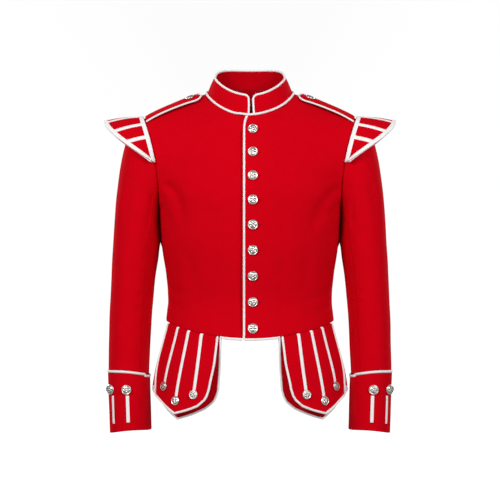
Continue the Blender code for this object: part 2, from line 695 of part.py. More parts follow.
def tash_point(tash, across, down):
    """A point of a flap: across from its inner edge, down from the waist seam."""
    x = lerp(tash["inner_x"], tash["outer_x"], across)
    share = across_at_x("front", 0.0, x)
    top = panel_point("front", 0.0, share) - body_normal("front", 0.0, share) * tash["behind"]
    foot = tash["foot"]
    row = next((index for index in range(len(foot) - 1) if across <= foot[index + 1]["share"]),
               len(foot) - 2)
    here, there = foot[row], foot[row + 1]
    on = (across - here["share"]) / (there["share"] - here["share"])
    end = Vector((lerp(tash["inner_foot_x"], tash["outer_foot_x"], across),
                  column_at(foot, "y", row + on), lerp(here["z"], there["z"], on)))
    bow = tash["bow"] * across * across * math.sin(math.pi * down ** 1.4)
    hang = top.lerp(end, down)
    return hang + Vector((bow, 0.0, 0.0)) - Vector((0.0, 0.0, (SEAM_GAP + 0.1) * (1.0 - down)))


def flap_normal(tash, across, down):
    across = min(max(across, 0.002), 0.998)
    down = min(max(down, 0.002), 0.998)
    return normal_of(lambda a, d: tash_point(tash, a, d), across, down, TASH_INSIDE)


def rimmed_flap_point(across, down):
    """The under tash, raised along its inner edge and its foot."""
    on_rim = across <= RIM_ACROSS[1] or down >= RIM_DOWN[-2]
    raised = RIM_HEIGHT * smooth(down / RIM_DOWN[1]) if on_rim else 0.0
    return tash_point(UNDER_TASH, across, down) + flap_normal(UNDER_TASH, across, down) * raised


def make_tashes(collection):
    reach = PIPING_RADIUS + SEAM_GAP
    plain = [[tash_point(TOP_TASH, across, down) for across in TASH_ACROSS] for down in TASH_DOWN]
    rimmed = [[rimmed_flap_point(across, down) for across in RIM_ACROSS] for down in RIM_DOWN]
    for kind, grid in (("top", plain), ("under", rimmed)):
        for side, sign in (("left", 1), ("right", -1)):
            sheet(f"{kind}_tash_{side}", mirrored_grid(grid, sign), collection, WOOL,
                  TASH_INSIDE * Vector((sign, 1, 1)))

    downs = TASH_DOWN[1:-1]
    outline = [(0.0, 0.02), *((0.0, down) for down in downs), *((across, 1.0) for across in TASH_ACROSS),
               *((1.0, down) for down in reversed(downs)), (1.0, 0.02)]
    edge = [tash_point(TOP_TASH, across, down) for across, down in outline]
    normals = [flap_normal(TOP_TASH, across, down) for across, down in outline]
    path = beside_edge(edge, normals, 1.0, reach, 0.0)
    for side, sign in (("left", 1), ("right", -1)):
        flip = Vector((sign, 1, 1))
        tube(f"top_tash_piping_{side}", mirrored(path, sign), PIPING_RADIUS, collection)
        for line, top, foot, down, seat in TASH_LINES:
            place_at = lerp(top, foot, down)
            centre = tash_point(TOP_TASH, place_at, down) * flip
            normal = flap_normal(TOP_TASH, place_at, down) * flip
            button(f"tash_button_{line}_{side}", centre - normal * seat, normal, SMALL_BUTTON_RADIUS,
                   collection)
            spine, sides, normals = [], [], []
            stop = down - (SMALL_BUTTON_RADIUS + 0.5) / TASH_LENGTH
            for step in range(TASH_STRIPE_STEPS + 1):
                level = lerp(TASH_STRIPE_FROM, stop, step / TASH_STRIPE_STEPS)
                across = lerp(top, foot, level)
                wide = tash_point(TOP_TASH, across + 0.01, level) - tash_point(TOP_TASH, across - 0.01, level)
                spine.append(tash_point(TOP_TASH, across, level) * flip)
                sides.append(wide.normalized() * flip)
                normals.append(flap_normal(TOP_TASH, across, level) * flip)
            band(f"tash_stripe_{line}_{side}", spine, sides, normals, collection, TASH_INSIDE * flip)


def wing_edge_point(angle):
    """The outer edge of a wing, from its tip above the shoulder down to its two feet."""
    turn = math.radians(abs(angle))
    reach = math.copysign(WING_REACH_Y * math.sin(turn), angle)
    return Vector((
        lerp(WING_FOOT_X, WING_TIP_X, math.cos(turn)),
        WING_MID_Y - reach,
        lerp(WING_TIP_Z, WING_FOOT_Z, (abs(angle) / 90.0) ** 1.25),
    ))


def wing_point(angle, out):
    """A point of a wing: angle round the shoulder, out from the armhole seam to its edge."""
    seam = ring_point(SLEEVE_RINGS, 0.0, 180.0 - angle)
    middle = ring_point(SLEEVE_RINGS, 0.0, 90.0).lerp(ring_point(SLEEVE_RINGS, 0.0, 270.0), 0.5)
    lift = (seam - middle).normalized() * WING_LIFT
    crown = WING_CROWN * 4.0 * out * (1.0 - out) * math.cos(math.radians(angle))
    return (seam + lift).lerp(wing_edge_point(angle) + lift * 0.3, out) + Vector((0.0, 0.0, crown))


def make_wings(collection):
    angles = list(WING_ANGLES)
    for bar in WING_BARS:
        angles += [bar - WING_BAR_HALF_ANGLE, bar + WING_BAR_HALF_ANGLE]
    angles.sort()

    def normal_at(angle, out):
        angle = min(max(angle, -89.9), 89.9)
        return normal_of(wing_point, angle, min(max(out, 0.01), 0.99), WING_INSIDE)

    shell, braid = [], []
    for angle in angles:
        width = (wing_point(angle, 1.0) - wing_point(angle, 0.0)).length
        border = min(WING_BRAID_WIDTH / width, 0.42)
        outs = (0.0, border, lerp(border, 1.0 - border, 0.5), 1.0 - border, 1.0)
        shell.append([wing_point(angle, out) for out in outs])
        braid.append([wing_point(angle, out) + normal_at(angle, out) * (SEAM_GAP + BRAID_THICKNESS)
                      for out in outs])

    def is_braid(row, column):
        if column in (0, 3):
            return True
        middle = (angles[row] + angles[row + 1]) / 2.0
        if abs(middle) > WING_CLOSED_FROM:
            return True
        return any(abs(middle - bar) < WING_BAR_HALF_ANGLE for bar in WING_BARS)

    for side, sign in (("left", 1), ("right", -1)):
        centre = WING_INSIDE * Vector((sign, 1, 1))
        sheet(f"wing_{side}", mirrored_grid(shell, sign), collection, WOOL, centre, thickness=WING_WALL)
        sheet(f"wing_braid_{side}", mirrored_grid(braid, sign), collection, BRAID, centre,
              thickness=BRAID_THICKNESS, keep=is_braid)


def shoulder_point(along, offset):
    """A point of the shoulder: along from its end to the neck, offset behind the middle of
    the strap, which lies forward of the seam."""
    offset -= STRAP_FORWARD
    facing = "front" if offset < 0.0 else "back"
    across = 1.0 - along
    seam = panel_point(facing, TOP_ROW, across)
    low, high = NECK_ROW + 0.5, float(TOP_ROW)
    for _ in range(30):
        middle = (low + high) / 2.0
        if (panel_point(facing, middle, across) - seam).length > abs(offset):
            low = middle
        else:
            high = middle
    return panel_point(facing, (low + high) / 2.0, across)


def strap_normal(along, offset):
    """Out of the shoulder, the same on both sides of its seam."""
    reach = 4.0
    return (normal_of(shoulder_point, along, offset - reach, STRAP_INSIDE)
            + normal_of(shoulder_point, along, offset + reach, STRAP_INSIDE)).normalized()


def make_straps(collection):
    grid = []
    steps = 2 * (len(STRAP_OUTLINE) - 1)
    for step in range(steps + 1):
        along = column_at(STRAP_OUTLINE, "along", step / 2)
        half = column_at(STRAP_OUTLINE, "half_width", step / 2)
        row = []
        for share in STRAP_SHARES:
            rim = RIM_HEIGHT if abs(share) > STRAP_RIM_FROM or step >= steps - 1 else 0.0
            lift = SEAM_GAP + STRAP_THICKNESS + rim + STRAP_CLEARANCE
            row.append(shoulder_point(along, share * half) + strap_normal(along, share * half) * lift)
        grid.append(row)
    for side, sign in (("left", 1), ("right", -1)):
        flip = Vector((sign, 1, 1))
        sheet(f"strap_{side}", mirrored_grid(grid, sign), collection, WOOL, STRAP_INSIDE * flip,
              thickness=STRAP_THICKNESS)
        normal = strap_normal(STRAP_BUTTON_ALONG, 0.0)
        lift = SEAM_GAP + STRAP_THICKNESS + STRAP_CLEARANCE + STRAP_BUTTON_SEAT
        centre = shoulder_point(STRAP_BUTTON_ALONG, 0.0) + normal * lift
        button(f"strap_button_{side}", centre * flip, normal * flip, SMALL_BUTTON_RADIUS, collection)


def front_button_z(index):
    """The height of a front button: they close up at the top, where the front slopes."""
    share = index / (FRONT_BUTTONS - 1)
    return lerp(FIRST_BUTTON_Z, LAST_BUTTON_Z, share) + BUTTONS_CLOSE_UP * math.sin(math.pi * share)


def make_front_buttons(collection):
    for index in range(FRONT_BUTTONS):
        row = row_at_z("front", front_button_z(index), FRONT_BUTTON_X)
        across = across_at_x("front", row, FRONT_BUTTON_X)
        button(f"front_button_{index + 1}", left_front_point(row, across),
               body_normal("front", row, across), BUTTON_RADIUS, collection)


def main():
    for old in list(bpy.data.objects):
        bpy.data.objects.remove(old, do_unlink=True)
    collection = bpy.data.collections.new("military_doublet")
    bpy.context.scene.collection.children.link(collection)
    make_fronts(collection)
    make_backs(collection)
    make_collar(collection)
    make_neck_piping(collection)
    make_front_piping(collection)
    make_sleeves(collection)
    make_cuffs(collection)
    make_tashes(collection)
    make_wings(collection)
    make_straps(collection)
    make_front_buttons(collection)


main()
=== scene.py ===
"""Looks of the military doublet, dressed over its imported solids.

Tables and sizes are in millimetres in the part's own frame: +Z up, the front faces -Y,
+X is the wearer's left. Grids are scaled to metres when a mesh is made.
"""

import math

import bpy
import numpy as np
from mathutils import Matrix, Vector, noise


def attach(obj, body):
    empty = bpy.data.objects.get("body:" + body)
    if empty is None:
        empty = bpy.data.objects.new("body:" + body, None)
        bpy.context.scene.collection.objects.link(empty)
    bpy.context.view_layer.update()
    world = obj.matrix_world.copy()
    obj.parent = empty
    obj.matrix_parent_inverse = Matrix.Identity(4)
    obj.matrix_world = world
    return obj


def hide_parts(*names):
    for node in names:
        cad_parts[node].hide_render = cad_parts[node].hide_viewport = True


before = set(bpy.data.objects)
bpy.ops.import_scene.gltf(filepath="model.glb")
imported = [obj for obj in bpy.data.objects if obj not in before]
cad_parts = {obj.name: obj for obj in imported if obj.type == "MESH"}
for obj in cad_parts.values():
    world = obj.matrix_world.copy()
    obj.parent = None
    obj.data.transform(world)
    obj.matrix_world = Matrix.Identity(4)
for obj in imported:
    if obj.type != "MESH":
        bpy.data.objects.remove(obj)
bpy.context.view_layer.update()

METRES = 0.001


def table(columns, *rows):
    """Rows of numbers under named columns."""
    return [dict(zip(columns.split(), row)) for row in rows]


# Cloth and gaps
WALL = 2.2
WING_WALL = 3.0
SEAM_GAP = 0.35

# Trim
PIPING_RADIUS = 2.3
CUFF_PIPING_RADIUS = 2.6
BRAID_THICKNESS = 1.2
BRAID_EDGE_DROP = 0.42
STRIPE_WIDTH = 6.8
WING_BRAID_WIDTH = 8.6
CUFF_PIPING_PROUD = 0.6
STRAP_CLEARANCE = 0.4

# Front opening: the left front laps over the right one
LAP_PAST_CENTRE = 9.2
LAP_AT_NECK = 3.2
UNDERLAP = 12.0
LAP_GAP = 0.6
LAP_LIFT = WALL + LAP_GAP
LAP_FLAT_TO = 33.0
LAP_FADES_BY = 72.0
NECK_TRIM_CLIMBS_FROM = -34.0
NECK_TRIM_CLIMBS_OVER = 20.0
LEFT_HEM_PIPING_XS = (1.0, 14.0, 28.0, 41.0, 53.0)
RIGHT_HEM_PIPING_XS = (53.0, 41.0, 28.0, 17.5)

# Buttons
BUTTON_RADIUS = 10.0
SMALL_BUTTON_RADIUS = 9.0
FRONT_BUTTONS = 9
FRONT_BUTTON_X = 5.6
FIRST_BUTTON_Z = -80.0
LAST_BUTTON_Z = -475.0
BUTTONS_CLOSE_UP = 8.0

# Neck ring: where the collar is sewn to the body
NECK_HALF_WIDTH = 87.0
NECK_SIDE_Y = 5.0
NECK_FRONT_Y = -74.0
NECK_BACK_Y = 62.0
NECK_FRONT_Z = -51.0
NECK_SIDE_Z = 1.0
NECK_BACK_Z = 14.0

# Top edge of the collar
COLLAR_TOP_HALF_WIDTH = 73.0
COLLAR_TOP_SIDE_Y = -2.0
COLLAR_TOP_FRONT_Y = -68.0
COLLAR_TOP_BACK_Y = 50.0
COLLAR_TOP_FRONT_Z = -10.5
COLLAR_TOP_SIDE_Z = 31.5
COLLAR_TOP_BACK_Z = 51.5
COLLAR_LEFT_EDGE_X = 10.0
COLLAR_RIGHT_EDGE_X = -5.0
COLLAR_CORNER = 7.0
COLLAR_SEAM_GAP = 1.3

# Rows of the body panels, from the hem up. Rows 0 to 4 end at the side seam, rows 4 to
# 12 at the armhole, at that angle of its ring. Rows 0 to 9 start at the centre line,
# and rows 9 to 12 at the neck ring.
SIDE_SEAM = table(
    "x y z",
    (172.0, 2.0, -464.0),
    (167.8, 2.0, -420.0),
    (171.5, 1.0, -372.0),
    (180.0, 0.0, -315.0),
    (185.6, 0.0, -236.0),
)
PANEL_ROWS = table(
    "front_y front_z back_y back_z fullness start end angle",
    (-121.0, -494.0, 104.0, -476.0, 0.58, 0.0, 0.0, 0.0),
    (-113.0, -425.0, 98.0, -422.0, 0.58, 0.0, 0.0, 0.0),
    (-118.0, -372.0, 106.0, -372.0, 0.58, 0.0, 0.0, 0.0),
    (-124.0, -310.0, 114.0, -300.0, 0.59, 0.0, 0.0, 0.0),
    (-127.0, -240.0, 118.0, -218.0, 0.60, 0.0, 0.0, 0.0),
    (-125.0, -205.0, 118.0, -176.0, 0.60, 0.0, 0.08, 24.0),
    (-119.0, -168.0, 115.0, -130.0, 0.58, 0.0, 0.20, 48.0),
    (-108.0, -130.0, 106.0, -82.0, 0.55, 0.0, 0.40, 72.0),
    (-92.0, -91.0, 88.0, -34.0, 0.50, 0.0, 0.60, 97.0),
    (-74.0, -51.0, 62.0, 14.0, 0.45, 0.10, 0.75, 120.0),
    (0.0, 0.0, 0.0, 0.0, 0.40, 0.40, 0.85, 140.0),
    (0.0, 0.0, 0.0, 0.0, 0.36, 0.75, 0.95, 160.0),
    (0.0, 0.0, 0.0, 0.0, 0.34, 1.0, 1.0, 180.0),
)
UNDERARM_ROW = 4
NECK_ROW = 9
TOP_ROW = 12

# Sleeve rings from the armhole to the cuff: the outer and the inner point of each, its
# middle in depth, half its depth in front and behind, how far the armhole is scooped in
# towards the chest and the back, and how far a ring rises in front.
SLEEVE_COLUMNS = "outer_x outer_z inner_x inner_z mid_y front back scoop_front scoop_back rise"
SLEEVE_RINGS = table(
    SLEEVE_COLUMNS,
    (218.0, -50.5, 186.4, -236.0, 4.0, 62.0, 62.0, 11.0, 6.0, 0.0),
    (240.0, -62.5, 186.9, -257.0, 4.0, 66.0, 66.0, 6.0, 4.0, 0.0),
    (254.0, -98.0, 186.2, -281.0, 3.0, 67.0, 67.0, 3.0, 2.0, 0.0),
    (263.5, -140.0, 185.4, -304.0, 2.0, 66.5, 66.5, 1.0, 1.0, 0.0),
    (271.0, -190.0, 187.4, -330.0, 1.0, 65.5, 65.5, 0.0, 0.0, 0.0),
    (277.0, -255.0, 192.0, -363.0, 0.0, 64.5, 64.5, 0.0, 0.0, 0.0),
    (281.0, -325.0, 196.6, -403.0, -1.5, 62.5, 62.5, 0.0, 0.0, 0.0),
    (284.5, -400.0, 200.4, -448.0, -5.0, 59.5, 59.5, 0.0, 0.0, 0.0),
    (287.0, -475.0, 203.2, -503.0, -11.0, 56.0, 56.0, 0.0, 0.0, 2.0),
    (288.0, -563.0, 205.6, -570.0, -20.0, 51.5, 51.5, 0.0, 0.0, 5.0),
)
FRONT_SLEEVE_SEAM = 50.0
BACK_SLEEVE_SEAM = 300.0

CUFF_RINGS = table(
    SLEEVE_COLUMNS,
    (289.2, -569.0, 203.4, -576.4, -20.6, 52.0, 52.0, 0.0, 0.0, 5.0),
    (287.0, -628.0, 201.6, -630.0, -23.5, 51.0, 51.0, 0.0, 0.0, 5.0),
    (284.6, -690.0, 200.0, -683.4, -27.0, 50.5, 50.5, 0.0, 0.0, 5.0),
)
# Each braid line of a cuff: the angle of its button and of its stripe
CUFF_LINES = (("front", 93.0, 91.0), ("side", 141.0, 136.0))
CUFF_BUTTON_SHARE = 0.285
CUFF_STRIPE_FROM = 0.39
CUFF_STRIPE_TO = 0.855

# Tashes: the skirt flaps hung from the waist seam. Along the lower edge, from the inner
# corner to the outer one: share of the width, depth in y and height in z. Behind is how
# far its top lies under the hem, stand how far it hangs forward of it, and corner how far
# its inner corner is turned out.
TOP_TASH = dict(
    inner_x=66.5, outer_x=165.0, inner_foot_x=79.0, outer_foot_x=189.0, bow=6.0, behind=0.0,
    stand=5.0, corner=5.0,
    foot=table(
        "share y z",
        (0.0, -127.0, -600.0), (0.08, -127.0, -613.0), (0.21, -125.0, -624.5),
        (0.42, -118.0, -633.5), (0.64, -106.0, -640.5), (0.81, -86.0, -627.5),
        (1.0, -54.0, -608.5)),
)
UNDER_TASH = dict(
    inner_x=56.5, outer_x=167.0, inner_foot_x=58.5, outer_foot_x=194.0, bow=3.0, behind=2.9,
    stand=-2.0, corner=2.0,
    foot=table(
        "share y z",
        (0.0, -115.0, -603.0), (0.08, -115.0, -621.5), (0.21, -114.0, -635.5),
        (0.42, -108.0, -648.0), (0.64, -94.0, -658.0), (0.81, -71.0, -639.0),
        (1.0, -41.0, -604.0)),
)
TASH_LENGTH = 140.0
# Where each braid line leaves the waist seam and where its button sits: share of the
# width at the top, share of the width at the foot and share of the way down
TASH_LINES = (("inner", 0.30, 0.30, 0.835), ("middle", 0.565, 0.64, 0.865), ("outer", 0.79, 0.865, 0.79))
# The row of a foot that is its point
TASH_POINT = 4

# Wings: from the ridge (0 degrees) to the tips in front and behind (90 degrees)
WING_TIP_X = 300.0
WING_TIP_Z = -56.0
WING_FOOT_X = 199.0
WING_FOOT_Z = -141.0
WING_MID_Y = 8.0
WING_REACH_Y = 80.0
WING_CROWN = 3.0
WING_LIFT = 4.2
WING_BARS = (-58.0, -36.0, 11.0, 36.0, 58.0)
WING_BAR_HALF_ANGLE = 2.6
WING_CLOSED_SHARE = 0.46

# Shoulder straps
STRAP_OUTLINE = table(
    "along half_width",
    (0.03, 26.0), (0.30, 24.0), (0.60, 25.5), (0.78, 26.5), (0.88, 18.0), (0.92, 5.0))
STRAP_THICKNESS = 2.8
STRAP_FORWARD = 8.0
STRAP_BUTTON_ALONG = 0.745

# A point inside each hollow, from which its walls face away
BODY_INSIDE = Vector((0.0, 0.0, -310.0))
COLLAR_INSIDE = Vector((0.0, 0.0, 0.0))
SLEEVE_INSIDE = Vector((236.0, 0.0, -300.0))
CUFF_INSIDE = Vector((244.0, -24.0, -628.0))
TASH_INSIDE = Vector((110.0, 60.0, -560.0))
WING_INSIDE = Vector((235.0, WING_MID_Y, -160.0))
STRAP_INSIDE = Vector((150.0, 8.0, -120.0))

# How the dressed pieces differ from their solids
TOUCH = 0.06
SEAM_DIP = 0.75
SEAM_DIP_REACH = 1.9
SEAM_FADE = 14.0
EDGE_STEPS = (0.7, 1.6, 2.8, 4.4, 6.6)
RIM_ROUNDING = 0.7
PIPING_SIDES = 14
STRAP_PIPING_RADIUS = 1.8
FLAT_BY_BUTTONS = 30.0
FLAT_FADE = 40.0
FLAT_SLEEVE_Z = -566.0
FLAT_SLEEVE_FADE = 26.0
WAVE_SIZE = 58.0
WAVE_DEPTH = 0.9

# Creases: three points of each in the flat map of its piece, half its width, its depth,
# the share of that depth which stands up beside it, and how it ends: 0 fades at both
# ends, 1 starts at a seam. On the body the map is x and z, on a sleeve it is the angle
# and z, for the wearer's left side. The right side has a table of its own.
CREASE_COLUMNS = "u1 v1 u2 v2 u3 v3 width depth ridge start"
FRONT_LEFT_CREASES = table(
    CREASE_COLUMNS,
    (178.0, -196.0, 140.0, -240.0, 118.0, -318.0, 13.0, 4.2, 0.3, 1),
    (180.0, -226.0, 150.0, -252.0, 112.0, -262.0, 11.0, 1.8, 0.3, 1),
    (118.0, -290.0, 114.0, -370.0, 119.0, -452.0, 15.0, 2.4, 0.25, 0),
    (186.0, -176.0, 156.0, -172.0, 122.0, -150.0, 12.0, 1.3, 0.3, 1),
    (166.0, -400.0, 140.0, -414.0, 98.0, -410.0, 9.0, 1.1, 0.4, 1),
    (166.0, -436.0, 138.0, -440.0, 104.0, -452.0, 8.0, 0.9, 0.4, 1),
    (70.0, -392.0, 58.0, -402.0, 34.0, -404.0, 8.0, 0.5, 0.3, 0),
)
FRONT_RIGHT_CREASES = table(
    CREASE_COLUMNS,
    (166.0, -190.0, 142.0, -228.0, 134.0, -304.0, 12.0, 4.6, 0.35, 1),
    (178.0, -232.0, 160.0, -268.0, 146.0, -322.0, 10.0, 1.7, 0.25, 1),
    (130.0, -292.0, 116.0, -372.0, 106.0, -446.0, 15.0, 2.2, 0.25, 0),
    (96.0, -196.0, 92.0, -240.0, 88.0, -300.0, 16.0, 0.9, 0.2, 0),
    (184.0, -170.0, 150.0, -160.0, 126.0, -136.0, 12.0, 1.2, 0.3, 1),
    (166.0, -392.0, 144.0, -404.0, 110.0, -400.0, 9.0, 1.2, 0.4, 1),
    (166.0, -428.0, 142.0, -438.0, 96.0, -446.0, 8.0, 0.9, 0.4, 1),
)
BACK_LEFT_CREASES = table(
    CREASE_COLUMNS,
    (184.0, -190.0, 150.0, -212.0, 104.0, -214.0, 14.0, 2.4, 0.3, 1),
    (182.0, -224.0, 142.0, -262.0, 116.0, -318.0, 13.0, 2.0, 0.3, 1),
    (176.0, -120.0, 150.0, -150.0, 132.0, -196.0, 14.0, 1.5, 0.3, 1),
    (110.0, -300.0, 92.0, -368.0, 84.0, -430.0, 16.0, 1.4, 0.2, 0),
    (166.0, -392.0, 130.0, -402.0, 78.0, -394.0, 9.0, 1.5, 0.45, 1),
    (166.0, -420.0, 126.0, -426.0, 70.0, -424.0, 8.0, 1.1, 0.45, 1),
    (4.0, -372.0, 40.0, -384.0, 74.0, -382.0, 9.0, 1.0, 0.4, 0),
)
BACK_RIGHT_CREASES = table(
    CREASE_COLUMNS,
    (184.0, -184.0, 146.0, -204.0, 112.0, -200.0, 13.0, 2.2, 0.3, 1),
    (182.0, -232.0, 148.0, -274.0, 128.0, -330.0, 14.0, 2.1, 0.3, 1),
    (176.0, -112.0, 152.0, -146.0, 128.0, -184.0, 13.0, 1.4, 0.3, 1),
    (100.0, -288.0, 90.0, -352.0, 78.0, -436.0, 17.0, 1.3, 0.2, 0),
    (166.0, -398.0, 134.0, -406.0, 88.0, -404.0, 9.0, 1.4, 0.45, 1),
    (166.0, -430.0, 130.0, -432.0, 62.0, -438.0, 8.0, 1.0, 0.45, 1),
    (6.0, -390.0, 36.0, -396.0, 66.0, -390.0, 9.0, 0.9, 0.4, 0),
)
SLEEVE_LEFT_CREASES = table(
    CREASE_COLUMNS,
    (118.0, -160.0, 122.0, -230.0, 116.0, -330.0, 15.0, 2.1, 0.3, 0),
    (66.0, -226.0, 62.0, -268.0, 66.0, -316.0, 11.0, 1.7, 0.3, 1),
    (36.0, -262.0, 46.0, -300.0, 58.0, -352.0, 11.0, 2.2, 0.35, 1),
    (-20.0, -286.0, -44.0, -318.0, -66.0, -330.0, 10.0, 2.2, 0.35, 1),
    (-52.0, -236.0, -86.0, -262.0, -116.0, -268.0, 12.0, 1.9, 0.3, 1),
    (28.0, -392.0, 62.0, -404.0, 96.0, -398.0, 8.0, 1.4, 0.45, 0),
    (22.0, -430.0, 52.0, -426.0, 88.0, -436.0, 8.0, 1.6, 0.45, 0),
    (12.0, -462.0, 40.0, -470.0, 74.0, -462.0, 8.0, 1.0, 0.4, 0),
    (96.0, -420.0, 98.0, -480.0, 92.0, -546.0, 12.0, 1.1, 0.25, 0),
    (-70.0, -380.0, -96.0, -398.0, -128.0, -392.0, 11.0, 1.2, 0.3, 0),
    (214.0, -150.0, 222.0, -230.0, 216.0, -320.0, 17.0, 1.4, 0.25, 0),
)
SLEEVE_RIGHT_CREASES = table(
    CREASE_COLUMNS,
    (119.0, -150.0, 117.0, -240.0, 122.0, -342.0, 14.0, 2.3, 0.3, 0),
    (60.0, -214.0, 58.0, -262.0, 63.0, -330.0, 11.0, 1.6, 0.3, 1),
    (34.0, -258.0, 40.0, -306.0, 56.0, -364.0, 11.0, 2.3, 0.35, 1),
    (-22.0, -290.0, -40.0, -324.0, -70.0, -338.0, 10.0, 2.1, 0.35, 1),
    (-56.0, -230.0, -84.0, -250.0, -120.0, -258.0, 12.0, 2.0, 0.3, 1),
    (24.0, -402.0, 56.0, -410.0, 90.0, -402.0, 8.0, 1.5, 0.45, 0),
    (18.0, -440.0, 56.0, -440.0, 84.0, -450.0, 8.0, 1.4, 0.45, 0),
    (88.0, -410.0, 92.0, -470.0, 88.0, -540.0, 12.0, 1.2, 0.25, 0),
    (-74.0, -388.0, -100.0, -402.0, -124.0, -400.0, 11.0, 1.3, 0.3, 0),
    (210.0, -160.0, 218.0, -236.0, 212.0, -330.0, 16.0, 1.5, 0.25, 0),
)

# A buttonhole's start, middle and end from the middle of its button, and its size
BUTTONHOLE = (-6.0, 4.5, 15.0)
BUTTONHOLE_RADIUS = 0.75
BUTTONHOLE_HALF_HEIGHT = 1.1

# The cord of a cuff starts at this angle and steps down over its own start
CUFF_CORD_START = 36
CUFF_CORD_OVERLAP = 6
CUFF_CORD_TURN = 6
CUFF_CORD_STEP = 2.6
CUFF_CORD_STEPS_FROM = 0.76
CUFF_CORD_STEPS_OVER = 0.2
CUFF_CORD_PROUD = 1.2
SIDE_BUTTON_LEAN = 0.55
SIDE_BUTTON_OUT = 2.6
STRIPE_LIFT = 0.25
BUTTON_COLUMNS = 72

# Where the sleeve lies against the body, and how far each is from the sheet between them
PRESS_TOP = -225.0
PRESS_FOOT = -316.0
PRESS_FADE = 12.0
PRESS_REACH = 9.0
PRESS_Y = 18.0
PRESS_DEPTH = 34.0
PRESS_SIDE_FADE = 18.0
PRESS_X = 184.2
PRESS_WAVE = 0.9
PRESS_WAVE_LENGTH = 7.0
PRESS_APART = 0.22

# How the flaps go up behind the hem, and how far the under one shows past the top one
TUCK_DEPTH = 2.5
TUCK_REACH = 3.2
TUCK_UP = 0.03
UNDER_TASH_WIDER = 4.0
UNDER_TASH_WIDE_BY = 0.3
UNDER_TASH_CORD_RADIUS = PIPING_RADIUS * 0.92
TASH_WAVES = {"top": 0.35, "under": 0.9}
TASH_STANDS_BY = 0.45
TASH_TURNS_FROM = 0.4

# The right front sinks in beside the edge of the left one, between these rows, and the
# edge of the left one is rolled
LAP_SINK = 4.6
LAP_SINK_X = 16.0
LAP_SINK_REACH = 5.0
LAP_SINK_FADE_IN = 0.4
LAP_SINK_FADE_OUT = 0.7
LAP_SINK_TOP_ROW = NECK_ROW - 0.3
LAP_ROLL = 0.5
LAP_ROLL_REACH = 1.4

# The straps stand off the shoulder, most in their outer half
STRAP_BOW = 5.0
STRAP_BOW_SKEW = 0.65
STRAP_BUTTON_LIFT = 3.0
SLEEVE_SEAM_DIP = 0.4

# Studio, in metres: the camera's place, the floor far below and the lights
CAMERA_PLACE = (0.0, -3.2, -0.3198)
CAMERA_LENS = 112.39
FLOOR_Z = -1.45
FLOOR_RADIUS = 3.9
FLOOR_BEND = 1.5
LIGHT_TARGET = (0.0, 0.0, -0.32)
WORLD_STRENGTH = 0.31
FLOOR_GLOW = 0.6
LIGHTS = (
    ("key", (-1.75, -2.3, 0.9), 1.2, 50.0),
    ("fill", (1.75, -2.3, 0.7), 1.2, 40.0),
    ("back_left", (-2.4, 3.0, 1.2), 1.6, 62.0),
    ("back_right", (2.4, 3.2, 0.9), 1.6, 56.0),
)


def column_at(rows, column, at, first=0, last=None):
    """One column of a table between its rows, as a smooth curve that never overshoots."""
    last = len(rows) - 1 if last is None else last
    at = min(max(at, first), last)
    low = min(int(at), last - 1)
    share = at - low
    here, there = rows[low][column], rows[low + 1][column]
    step = there - here
    before = here - rows[low - 1][column] if low > first else step
    after = rows[low + 2][column] - there if low + 2 <= last else step
    slope_in = 0.0 if before * step <= 0 else 2.0 * before * step / (before + step)
    slope_out = 0.0 if step * after <= 0 else 2.0 * step * after / (step + after)
    square, cube = share * share, share * share * share
    return (here * (2 * cube - 3 * square + 1) + slope_in * (cube - 2 * square + share)
            + there * (3 * square - 2 * cube) + slope_out * (cube - square))


def lerp(start, end, share):
    return start + (end - start) * share


def smooth(share):
    share = min(max(share, 0.0), 1.0)
    return share * share * (3.0 - 2.0 * share)


def front_rise(angle):
    """How far an edge at the neck has risen from centre front (0) to its side (1)."""
    cosine = math.cos(math.radians(angle))
    return (1.0 - cosine) * (2.0 + cosine) / 2.0


def neck_point(angle):
    """The neck ring: 0 degrees at centre front, 90 at the side, 180 at centre back."""
    turn = math.radians(angle)
    x = NECK_HALF_WIDTH * math.sin(turn)
    if math.cos(turn) >= 0.0:
        y = lerp(NECK_SIDE_Y, NECK_FRONT_Y, math.cos(turn))
        z = lerp(NECK_FRONT_Z, NECK_SIDE_Z, front_rise(angle))
    else:
        y = lerp(NECK_SIDE_Y, NECK_BACK_Y, -math.cos(turn))
        z = lerp(NECK_SIDE_Z, NECK_BACK_Z, -math.cos(turn))
    return Vector((x, y, z))


def collar_top_point(angle):
    """The collar's top edge, with its front corners rounded off."""
    turn = math.radians(angle)
    x = COLLAR_TOP_HALF_WIDTH * math.sin(turn)
    if math.cos(turn) >= 0.0:
        y = lerp(COLLAR_TOP_SIDE_Y, COLLAR_TOP_FRONT_Y, math.cos(turn))
        z = lerp(COLLAR_TOP_FRONT_Z, COLLAR_TOP_SIDE_Z, front_rise(angle))
        edge = (COLLAR_LEFT_EDGE_X if x > 0.0 else COLLAR_RIGHT_EDGE_X) / NECK_HALF_WIDTH
        inset = min(abs(x - edge * COLLAR_TOP_HALF_WIDTH), COLLAR_CORNER)
        z -= COLLAR_CORNER - math.sqrt(COLLAR_CORNER ** 2 - (COLLAR_CORNER - inset) ** 2)
    else:
        y = lerp(COLLAR_TOP_SIDE_Y, COLLAR_TOP_BACK_Y, -math.cos(turn))
        level = 1.0 - (1.0 + math.cos(turn)) ** 2
        z = lerp(COLLAR_TOP_SIDE_Z, COLLAR_TOP_BACK_Z, level)
    return Vector((x, y, z))


def collar_point(angle, height):
    """A point of the collar: height 0 at the neck seam, 1 at the top edge."""
    base = neck_point(angle) + Vector((0.0, 0.0, COLLAR_SEAM_GAP))
    return base.lerp(collar_top_point(angle), height)


